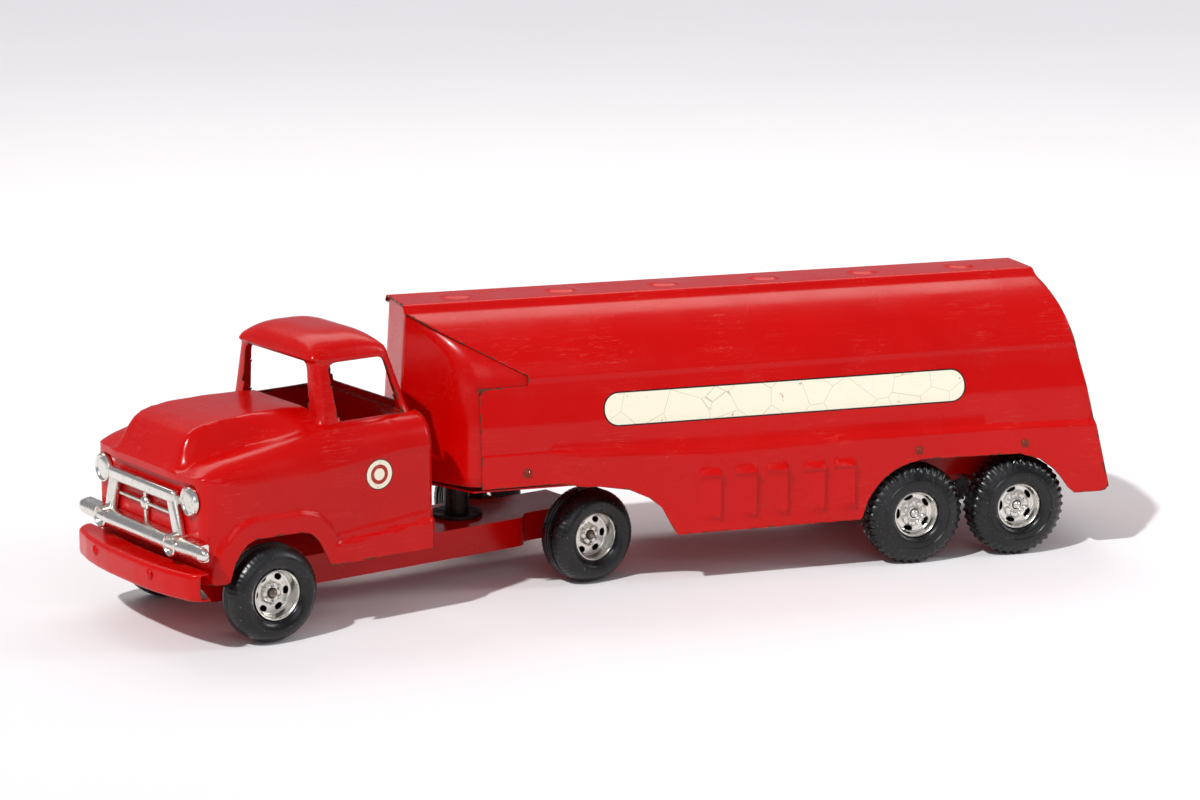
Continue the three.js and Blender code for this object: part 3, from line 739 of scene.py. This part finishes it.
def cab_wall(point, outward, t):
    """A point on the cab's wall at a share of the way from its lower edge up to the belt."""
    x, y = point
    top = belt_height(x)
    if y < CAB_HALF_W - 8 or x > CORNER_X:
        low = 38.0
    elif x > ARCH[-1][0]:
        low = graph(sorted(ARCH), x)
    else:
        low = SILL_Z
    z = lerp(low, top, t)
    out = wall_bulge(x, z) * ease(PANEL_X, 196, x)
    lip = 92.6
    recess = (x - PANEL_X) * ease(lip, lip - 1.2, z) if x > PANEL_X else 0.0
    return Vector((x + outward.x * out - recess, y + outward.y * out, z))


def cab_body():
    """Lower cab, fenders and hood as one deep-drawn pressing."""
    plan = cab_plan()
    length = sum((b - a).length for a, b in zip(plan, plan[1:]))

    def normal(path, i):
        along = path[min(i + 1, len(path) - 1)] - path[max(i - 1, 0)]
        return Vector((along.y, -along.x)).normalized()

    marks, run = [], 0.0
    for i, point in enumerate(plan):
        run += (point - plan[i - 1]).length if i else 0.0
        marks.append(run / length)

    def crown(point, target, t):
        """A point on the shoulder or hood at a share of the way in from the wall."""
        x, y = point.lerp(target, t)
        inward = t * (point - target).length
        rise = min(1.0, inward / 15.0)
        rise = math.sqrt(1 - (1 - rise) ** 2)
        edge = belt_height(point.x)
        z = edge + (shoulder_height(x) - edge) * rise
        dome = max(0.0, dome_height(x) - shoulder_height(x))
        spread = ease(172, 122, x)
        foot_y, top_y = lerp(39.0, 52.0, spread), lerp(29.5, 25.0, spread)
        z += dome * ease(foot_y, top_y, abs(y)) * ease(0, 0.3, rise)
        for dimple_x in (81, 130):
            z -= 0.9 * ease(2.2, 0.6, math.hypot(x - dimple_x, y - 56.5))
        return Vector((x, y, z))

    def front(i, j):
        point = plan[i]
        if j <= WALL_ROWS:
            return cab_wall(point, normal(plan, i), j / WALL_ROWS)
        target = Vector((lerp(202.5, COWL_X, marks[i]), 0))
        return crown(point, target, (ROLL + HOOD_ROWS)[j - WALL_ROWS])

    door_xs = spaced(COWL_X, 66, 1.5) + [64, 62, 60.5, 59.2, 58.3, CAB_BACK_X]

    def door(i, j):
        x = door_xs[i]
        tuck = 2.2 * ease(60.5, CAB_BACK_X, x)
        point = Vector((x, CAB_HALF_W))
        if j <= WALL_ROWS:
            spot = cab_wall(point, Vector((0, 1)), j / WALL_ROWS)
        else:
            spot = crown(point, Vector((x, 0)), ROLL[j - WALL_ROWS])
        spot.y -= tuck
        return spot

    bm = sheet_grid(len(plan), WALL_ROWS + len(ROLL) + len(HOOD_ROWS), front)
    join_into(bm, sheet_grid(len(door_xs), WALL_ROWS + len(ROLL), door))
    press("cab_pressing", bm, (160, 0, 400), TRACTOR, "tractor", CAB_RED, ["cab_body"])


def cut_hole(bm, outline, plane, reach, inside_test):
    """Cuts an opening: vertices near its outline slide onto it, and the faces within are deleted.
    plane gives the two axes of the outline."""
    a, b = plane
    line = outline + [outline[0]]
    for vert in bm.verts:
        if not inside_test(vert.co):
            continue
        here = Vector((vert.co[a], vert.co[b]))
        best, spot = reach, None
        for p, q in zip(line, line[1:]):
            along = q - p
            if along.length < TINY:
                continue
            t = min(1.0, max(0.0, (here - p).dot(along) / along.length_squared))
            foot = p + along * t
            if (here - foot).length < best:
                best, spot = (here - foot).length, foot
        if spot:
            vert.co[a], vert.co[b] = spot

    def within(co):
        odd = False
        for p, q in zip(line, line[1:]):
            if (p.y > co[b]) != (q.y > co[b]):
                if co[a] < p.x + (co[b] - p.y) / (q.y - p.y) * (q.x - p.x):
                    odd = not odd
        return odd

    drop(bm, lambda c: inside_test(c) and within(c))


def closed_outline(corners, arc=5):
    """Points of a closed outline with rounded corners."""
    middle = [lerp(corners[-1][k], corners[0][k], 0.5) for k in (0, 1)]
    return bent([middle, *corners, middle], [1] * (len(corners) + 1), arc)[:-1]


def cab_roof():
    """Roof with its four pillars, drawn in one piece with open windows."""
    eaves = 148.8
    levels = [112.6, 113.4, 114.4] + spaced(115.6, 146.5, 1.25) + [147.6, eaves]
    front_x = [(112.6, 123.6), (114.4, 122.2), (117, 121.4), (147, 120.3), (eaves, 122.0)]
    rear_x = [(112.6, 60.6), (114.4, 61.2), (118, 62.4), (147, 70.4), (eaves, 71.0)]
    half_w = [(112.6, 50.2), (114.4, 48.9), (118, 47.4), (146, 41.2), (eaves, 41.4)]
    counts = [20, 26, 20]

    def ring(z):
        return bent([(graph(front_x, z), 0), (graph(front_x, z), graph(half_w, z), 5.5),
                     (graph(rear_x, z), graph(half_w, z), 6), (graph(rear_x, z), 0)], counts, arc=7)

    caps = [0.0, 0.006, 0.018, 0.036, 0.06, 0.09, 0.13, 0.18, 0.25, 0.33, 0.43, 0.55, 0.69, 0.84, 1.0]
    top = ring(eaves)
    roof_rise = 12.4

    def place(i, j):
        if j < len(levels):
            point = ring(levels[j])[i]
            return Vector((point.x, point.y, levels[j]))
        t = caps[j - len(levels) + 1]
        spine = Vector((lerp(106, 92, i / (len(top) - 1)), 0))
        x, y = top[i].lerp(spine, t)
        rise = min(1.0, math.sqrt(t / 0.04))
        sides = ((half_w[-1][1] - abs(y), 30.0), (front_x[-1][1] - x, 20.0), (x - rear_x[-1][1], 24.0))
        for inward, reach in sides:
            share = min(1.0, max(0.0, inward / reach))
            rise *= math.sqrt(1 - (1 - share) ** 2.4)
        return Vector((x, y, eaves + roof_rise * rise))

    bm = sheet_grid(len(top), len(levels) + len(caps) - 1, place)
    windscreen = closed_outline([(-36.4, 114.9, 3), (36.4, 114.9, 3), (33, 147.2, 5), (-33, 147.2, 5)])
    side_glass = closed_outline([(109.4, 113.8, 4), (67.8, 114.6, 2), (75.2, 146.3, 5), (112.2, 146.3, 6)])
    rear_glass = closed_outline([(-34, 118, 4), (34, 118, 4), (31, 145, 5), (-31, 145, 5)])
    cut_hole(bm, windscreen, (1, 2), 0.75, lambda c: c.x > 113)
    cut_hole(bm, side_glass, (0, 2), 0.75, lambda c: abs(c.y) > 38 and 64 < c.x < 118)
    cut_hole(bm, rear_glass, (1, 2), 0.75, lambda c: c.x < 78 and abs(c.y) < 38)
    press("cab_roof_pressing", bm, (100, 0, 400), TRACTOR, "tractor", TRACTOR_RED)


def cab_back():
    """Sheet that closes the cab behind the seat, with its lower edge turned in."""
    levels = [37.2, 38.4] + spaced(40, 112, 3.0) + [113.4]
    half = [(37, 61.6), (97, 61.6), (104, 60), (109, 56), (113.4, 48)]
    counts = [24, 3]
    arc = 4

    def place(i, j):
        z = levels[j]
        w = graph(half, z)
        path = bent([(58.6, 0), (58.6, w, 1.5), (62.5, w)], counts, arc)
        pressed_in = 1.1 * ease(52, 48, abs(path[i].y)) * ease(46, 50, z) * ease(104, 100, z)
        lean = 4.5 * ease(104, 114, z)
        return Vector((path[i].x + pressed_in + lean, path[i].y, z))

    bm = sheet_grid(sum(counts) + arc + 1, len(levels), place)
    press("cab_back_pressing", bm, (-200, 0, 80), TRACTOR, "tractor", TRACTOR_RED, ["cab_back_panel"])


def bumper():
    """Bowed bumper: a channel with soft edges and a shelf behind its top."""
    ys = spaced(0, 60, 2.5) + [61.5, 63, 64.4, 65.6, 66.4, 66.9]
    bow = [(0, 222.0), (15, 221.9), (31, 220.9), (45, 218.9), (60, 215.2), (63, 213.9), (65.6, 211.6),
           (66.9, 209.4)]
    section = bent([(-6.0, 31.6), (0, 31.6, 2.6), (0.0, 47.0, 3.2), (-15, 47.0)], [4, 8, 8], arc=6)

    def place(i, j):
        back, z = section[j]
        front = graph(bow, ys[i])
        x = max(front + back, 204.4) if z > 46 else front + back
        return Vector((x, ys[i], z))

    bm = sheet_grid(len(ys), len(section), place)
    press("bumper_pressing", bm, (400, 0, 40), TRACTOR, "tractor", TRACTOR_RED, ["front_bumper"])
    for side, sign in SIDES:
        bm = lathe([(0, 1.5), (1.4, 1.35), (2.5, 0.8), (3.1, 0), (0, 0)], 28, axis="X")
        move(bm, (221.0, sign * 30.7, 41.3))
        make_piece(f"bumper_rivet_head_{side}", bm, TRACTOR, "tractor", TRACTOR_RED, "red_enamel",
                   [f"bumper_rivet_{side}"])


def bar_between(start, end, width, depth, round_off):
    """A bar of the plated moulding that runs from one (y, z) place to another on the panel."""
    start, end = Vector(start), Vector(end)
    along = end - start
    bm = block((0, -along.length / 2, -width / 2), (depth, along.length / 2, width / 2), round_off)
    middle = (start + end) / 2
    seat = Matrix.Translation((PANEL_X + 0.3, middle.x, middle.y))
    seat = seat @ Matrix.Rotation(math.atan2(along.y, along.x), 4, "X")
    bmesh.ops.transform(bm, matrix=seat, verts=bm.verts)
    return bm


def grille():
    """One plated moulding: frame, thin cross, headlamps on tabs, lower bar and parking lamps."""
    bm = bar_between((-36.5, 83.2), (36.5, 83.2), 7.6, 5.5, 2.2)
    for s in (1, -1):
        join_into(bm, bar_between((s * 31.5, 84), (s * 40.5, 57), 8.4, 5.0, 1.9))
        join_into(bm, bar_between((s * 31, 81.2), (s * 47, 82.6), 4.6, 2.6, 1.1))
        lamp = lathe([(0, 2.6), (3.0, 2.5), (5.0, 2.2), (6.1, 1.8), (6.5, 2.3), (7.1, 2.7), (7.8, 2.4),
                      (8.3, 1.3), (8.3, 0), (0, 0)], 48, axis="X")
        move(lamp, (PANEL_X + 0.6, s * 48.3, 83.2))
        join_into(bm, lamp)
        parking = lathe([(0, 8.8), (2.2, 8.6), (3.0, 7.6), (4.2, 7.8), (4.8, 9.6), (5.6, 10.2),
                         (6.4, 9.6), (6.5, 4), (6.2, 0), (0, 0)], 40, axis="X")
        move(parking, (PANEL_X + 0.4, s * 39.4, 58.0))
        join_into(bm, parking)
        tip = lathe([(0, 76.2), (1.6, 75.6), (3.0, 74.0), (4.0, 71.5), (4.4, 68), (4.4, 60), (0, 60)], 32)
        bmesh.ops.scale(tip, vec=(0.8, s, 1.0), verts=tip.verts)
        move(tip, (PANEL_X + 4.6, -s * 4.2, 57.8))
        bmesh.ops.recalc_face_normals(tip, faces=tip.faces)
        join_into(bm, tip)
    join_into(bm, bar_between((-29, 72.8), (29, 72.8), 2.0, 2.6, 0.7))
    join_into(bm, bar_between((0, 62), (0, 81), 2.2, 2.6, 0.7))
    ys = spaced(-66, 66, 3.0)
    section = closed_outline([(0.4, 62.8, 1.2), (6.2, 62.4, 2.6), (9.0, 57.9, 2.8), (6.2, 53.3, 2.6),
                              (0.4, 53.0, 1.2)], arc=3)
    section.append(section[0])

    def lower_bar(i, j):
        y = ys[i]
        x, z = section[j]
        stand = 2.2 * ease(62, 36, abs(y)) if x > 3 else 0
        return Vector((PANEL_X + x + stand, y, z))

    bar = sheet_grid(len(ys), len(section), lower_bar)
    bmesh.ops.remove_doubles(bar, verts=bar.verts, dist=0.01)
    bmesh.ops.holes_fill(bar, edges=[e for e in bar.edges if e.is_boundary], sides=0)
    bmesh.ops.recalc_face_normals(bar, faces=bar.faces)
    join_into(bm, bar)
    boss = lathe([(0, 3.6), (2.0, 3.4), (3.6, 2.6), (4.2, 1.2), (4.3, 0), (0, 0)], 8, axis="X")
    move(boss, (PANEL_X + 1.0, 0, 72.8))
    join_into(bm, boss)
    make_piece("grille_and_lamps", bm, TRACTOR, "tractor", PLATED_PLASTIC, "plated_plastic",
               ["grille_moulding"])


# ---- wheels -------------------------------------------------------------------------------------
def tyre_mesh(profile, lugs, depth):
    """A closed tyre from (radius, y, lug share, stagger) rings, moulded with lugs round its tread."""
    steps_per_lug = 5
    around = lugs * steps_per_lug
    rings = profile + [profile[0]]

    def place(i, j):
        radius, y, share, stagger = rings[j]
        angle = math.tau * i / around
        turn = (i / steps_per_lug + stagger) % 1.0
        groove = ease(0.0, 0.14, turn) * ease(0.62, 0.48, turn)
        radius -= depth * share * (1 - groove)
        return Vector((radius * math.cos(angle), y, radius * math.sin(angle)))

    bm = sheet_grid(around + 1, len(rings), place)
    seal(bm)
    return bm


def lugged_rings(bore, radius, front, back):
    """Section of a trailer tyre, whose outer sidewall is at front and inner one at back: a raised
    ring on the sidewall and a tread of staggered lugs."""
    width = front - back
    ring_r = 20.5
    rows = [(bore, front - 2.6, 0, 0), (bore + 0.5, front - 1.2, 0, 0), (bore + 1.6, front - 0.4, 0, 0),
            (bore + 2.9, front - 0.05, 0, 0), (bore + 4.2, front, 0, 0),
            (ring_r - 0.7, front - 0.05, 0, 0), (ring_r - 0.35, front + 0.4, 0, 0),
            (ring_r + 0.35, front + 0.4, 0, 0), (ring_r + 0.7, front - 0.1, 0, 0),
            (radius - 5.4, front - 1.2, 0.15, 0), (radius - 4.2, front - 1.7, 0.5, 0),
            (radius - 2.8, front - 2.5, 0.9, 0), (radius - 1.4, front - 3.6, 1.0, 0),
            (radius - 0.5, front - 4.6, 1.0, 0), (radius, front - 5.8, 0.9, 0),
            (radius, front - 0.38 * width, 0.75, 0), (radius, front - 0.42 * width, 0.75, 0.5),
            (radius, front - 0.58 * width, 0.75, 0.5), (radius, front - 0.62 * width, 0.75, 0)]
    return rows + inner_wall(bore, radius, back)


def inner_wall(bore, radius, back):
    """Rings of a tyre's inner sidewall and of the web behind its rim, dark rubber that paints the shade seen
    through the rim's openings.
    """
    return [(radius, back + 4.6, 0.9, 0), (radius - 0.5, back + 3.3, 1.0, 0),
             (radius - 1.6, back + 2.2, 1.0, 0), (radius - 3.6, back + 1.1, 0.7, 0),
             (radius - 6.0, back + 0.4, 0.1, 0), (bore + 3.0, back, 0, 0), (bore + 1.0, back + 0.6, 0, 0),
             (bore, back + 0.8, 0, 0), (SHADE_WEB_R, back + 0.8, 0, 0), (SHADE_WEB_R, back + 1.8, 0, 0),
             (bore, back + 1.8, 0, 0)]


def grooved_rings(bore, radius, front, back, grooves):
    """Section of a tractor tyre: a rounded outer sidewall, and grooves round the tread given as
    (place, depth, half width), the place and half width being shares of the tyre's width."""
    width = front - back
    wall = [(0, 3.2, 0), (0.7, 2.2, 0), (1.7, 1.3, 0), (3.1, 0.5, 0), (4.7, 0.08, 0), (5.9, 0, 0),
            (7.3, 0.25, 0), (8.7, 0.95, 0.1), (10.1, 2.1, 0.5), (11.3, 3.6, 1), (12.2, 5.3, 1),
            (12.8, 7.0, 1), (radius - bore, 8.4, 0.9)]
    rows = [(bore + out, front - drop_back, share, 0) for out, drop_back, share in wall]
    for place, deep, half in grooves:
        rows += [(radius, front - (place - half) * width, 0.2, 0),
                 (radius - deep, front - (place - half * 0.4) * width, 0, 0),
                 (radius - deep, front - (place + half * 0.4) * width, 0, 0),
                 (radius, front - (place + half) * width, 0.2, 0)]
    return rows + inner_wall(bore, radius, back)


def rim_mesh(lip, dish, barrel, holes, hole_r, hole_size, lugs, lug_r, hub):
    """A pressed rim: barrel, rolled lip, dish with openings round it, lug bosses and hub."""
    around = 144
    floor_r = lip - 2.9
    rows = [(lip, -barrel), (lip, -3.0), (lip, -0.7), (lip - 0.35, -0.1), (lip - 0.9, 0.05),
            (lip - 1.3, -0.35), (lip - 1.6, -1.6), (lip - 1.8, -dish + 1.6), (lip - 2.2, -dish + 0.5),
            (floor_r, -dish)]
    rows += [(r, -dish) for r in spaced(floor_r, hub[0][0] + 0.5, 0.42)[1:]]
    rows += hub

    def place(i, j):
        radius, y = rows[j]
        angle = math.tau * i / around
        point = Vector((radius * math.cos(angle), y, radius * math.sin(angle)))
        if radius < floor_r:
            for k in range(lugs):
                turn = math.tau * (k + 0.5) / lugs
                spot = Vector((lug_r * math.cos(turn), 0, lug_r * math.sin(turn)))
                away = math.hypot(point.x - spot.x, point.z - spot.z)
                point.y += 1.5 * ease(1.7, 1.0, away)
        return point

    def on_dish(co):
        return co.y < -dish + 1.3 and math.hypot(co.x, co.z) < floor_r + 0.2

    bm = sheet_grid(around + 1, len(rows), place)
    bmesh.ops.remove_doubles(bm, verts=bm.verts, dist=0.01)
    across, along = hole_size
    steps = 28
    for k in range(holes):
        turn = math.tau * k / holes
        outline = []
        for step in range(steps):
            bearing = math.tau * step / steps
            out = across * math.copysign(abs(math.cos(bearing)) ** 0.8, math.cos(bearing))
            side = along * math.copysign(abs(math.sin(bearing)) ** 0.8, math.sin(bearing))
            swing = turn + side / hole_r
            outline.append(Vector(((hole_r + out) * math.cos(swing), (hole_r + out) * math.sin(swing))))
        cut_hole(bm, outline, (0, 2), 0.3, on_dish)
    face_out(bm, (0, 60, 0))
    mark_edges(bm, reach=1.0)
    return bm


TRACTOR_HUB = [(5.9, -6.3), (5.5, -5.7), (5.1, -5.5), (4.6, -5.4), (4.1, -5.4), (3.6, -5.4), (3.1, -5.5),
               (2.8, -6.0), (2.6, -7.0), (2.6, -9.0)]
TRAILER_HUB = [(8.3, -5.3), (8.0, -4.7), (7.6, -4.4), (7.1, -4.3), (6.6, -4.3), (6.1, -4.3), (5.6, -4.3),
               (5.1, -4.4), (4.7, -4.6), (4.4, -4.4), (4.1, -3.8), (3.6, -3.4), (3.0, -3.3), (2.7, -3.8),
               (2.7, -9.0)]


def wheels():
    """Eight wheels, each a rubber tyre stretched over a plated rim."""
    fine, deep = (0.6, 0.025), (2.6, 0.045)
    tandem = lugged_rings(bore=14.2, radius=30.2, front=2.7, back=-18.6)
    front = grooved_rings(bore=14.5, radius=27.5, front=2.3, back=-16.5,
                          grooves=[(0.5, *fine), (0.58, *fine), (0.66, *fine)])
    drive = grooved_rings(bore=14.5, radius=27.5, front=3.3, back=-20.0,
                          grooves=[(0.42, *deep), (0.56, *fine), (0.66, *fine)])
    tractor_rim = dict(lip=14.4, dish=7.4, barrel=14.0, holes=6, hole_r=9.6, hole_size=(1.75, 2.3),
                       lugs=6, lug_r=5.3, hub=TRACTOR_HUB)
    trailer_rim = dict(lip=14.0, dish=5.5, barrel=16.0, holes=5, hole_r=9.8, hole_size=(1.3, 3.0),
                       lugs=8, lug_r=6.1, hub=TRAILER_HUB)
    # (local frame, body of the axle caps, rim, y of the caps, their finish and slot)
    tractor = (TRACTOR, "tractor", tractor_rim, -5.1, STEEL, "bare_steel")
    trailer = (TRAILER, "trailer", trailer_rim, -3.9, PLATED_STEEL, "plated_steel")
    # kind: (where it belongs, rings of its tyre, how many lugs round the tread, how deep)
    kinds = {"front": (tractor, front, 60, 0.12), "drive": (tractor, drive, 60, 0.18),
             "tandem_front": (trailer, tandem, 40, 1.1), "tandem_rear": (trailer, tandem, 40, 1.1)}
    for kind, (vehicle, rings, lugs, depth) in kinds.items():
        place, owner, rim, cap_y, finish, slot = vehicle
        for side, sign in SIDES:
            centre = place.inverted() @ Vector(JOINTS[f"{kind}_{side}_wheel_spin"]["pos_m"])
            seat = Matrix.Translation((centre.x, sign * RIM_LIP_Y, centre.z))
            seat = place @ seat @ Matrix.Diagonal((1, sign, 1, 1))
            body = f"{kind}_{side}_wheel"
            make_piece(f"{kind}_{side}_rubber_tyre", tyre_mesh(rings, lugs, depth), seat, body, RUBBER,
                       "tyre_rubber", [f"{kind}_{side}_tyre"], crease=35)
            thicken(make_piece(f"{kind}_{side}_plated_rim", rim_mesh(**rim), seat, body, PLATED_STEEL,
                               "plated_steel", [f"{kind}_{side}_rim"]), gauge=0.7, round_edge=0.1)
            cap = lathe([(0, 2.5), (0.9, 2.4), (1.7, 2.0), (2.2, 1.3), (2.4, 0.3), (0, 0.3)], 32)
            move(cap, (0, cap_y, 0))
            make_piece(f"{kind}_{side}_axle_end", cap, seat, owner, finish, slot,
                       [f"{kind}_{side}_axle_cap"])


def dress_frame_nodes():
    """Finishes for the solids that stay as they are."""
    finishes = [
        (TRAILER_RED, ["trailer_floor_pan", "tandem_axle_bracket"]),
        (TRACTOR_RED, ["tractor_chassis"]),
        # the parts under the trailer's nose take the darkened steel, which paints the shade they sit in
        (SHADE_DARKENED_STEEL, ["bolster_plate", "kingpin", "fifth_wheel"]),
        (STEEL, ["front_axle", "drive_axle", "tandem_front_axle", "tandem_rear_axle"]),
    ]
    for material, names in finishes:
        for name in names:
            node = frame["nodes"][name]
            node.data.materials.clear()
            node.data.materials.append(material)


# ---- stage: floor, lights and camera --------------------------------------------------------------
def stage():
    """White paper floor, faint light from all round, a sun ahead of the truck and three softboxes."""
    bm = bmesh.new()
    bmesh.ops.create_grid(bm, x_segments=1, y_segments=1, size=6)
    mesh = bpy.data.meshes.new("floor")
    bm.to_mesh(mesh)
    bm.free()
    mesh.materials.append(paper_sweep())
    floor = add_object("floor", mesh)

    world = bpy.data.worlds.new("studio_air")
    world.use_nodes = True
    air = world.node_tree.nodes["Background"]
    air.inputs["Color"].default_value = linear("#eeeef8")
    air.inputs["Strength"].default_value = 0.34
    bpy.context.scene.world = world

    sun = bpy.data.lights.new("key_from_ahead", "SUN")
    sun.energy = 2.5
    sun.angle = math.radians(2.2)
    key = add_object("key_from_ahead", sun)
    towards_sun = Vector((0.72, 0.5, 1.0))
    key.rotation_euler = towards_sun.to_track_quat("Z", "Y").to_euler()
    lamps = {
        # name: (place, aimed at, width, height, watts, colour)
        "overhead_softbox": ((-0.1, -1.3, 1.7), (0, 0, 0.1), 2.2, 0.8, 14, "#fff6ee"),
        "side_softbox": ((-2.05, 0.75, 1.25), (0, 0, 0.08), 0.5, 1.0, 14, "#ffffff"),
        "fill_from_the_front": ((0.2, 3.0, 1.6), (0, 0, 0.08), 2.0, 1.4, 12, "#fcfaff"),
    }
    for name, (place, target, width, height, watts, colour) in lamps.items():
        light = bpy.data.lights.new(name, "AREA")
        light.shape = "RECTANGLE"
        light.size = width
        light.size_y = height
        light.energy = watts
        light.color = linear(colour)[:3]
        lamp = add_object(name, light)
        lamp.location = place
        lamp.rotation_euler = (Vector(target) - Vector(place)).to_track_quat("-Z", "Y").to_euler()
    bpy.context.scene.view_settings.view_transform = "Standard"


def camera():
    """Long lens from the truck's left front quarter, a little above it."""
    lens = bpy.data.cameras.new("camera")
    lens.lens = 105.32
    lens.sensor_width = 36
    view = add_object("camera", lens)
    view.location = (0.6215, 1.8997, 0.5444)
    view.rotation_euler = Euler((math.radians(77.54), 0, math.radians(161.91)))
    bpy.context.scene.camera = view


camera()
stage()
tank_shell()
nose_panel()
rear_panel()
side_screws()
cab_body()
cab_roof()
cab_back()
bumper()
grille()
wheels()
dress_frame_nodes()
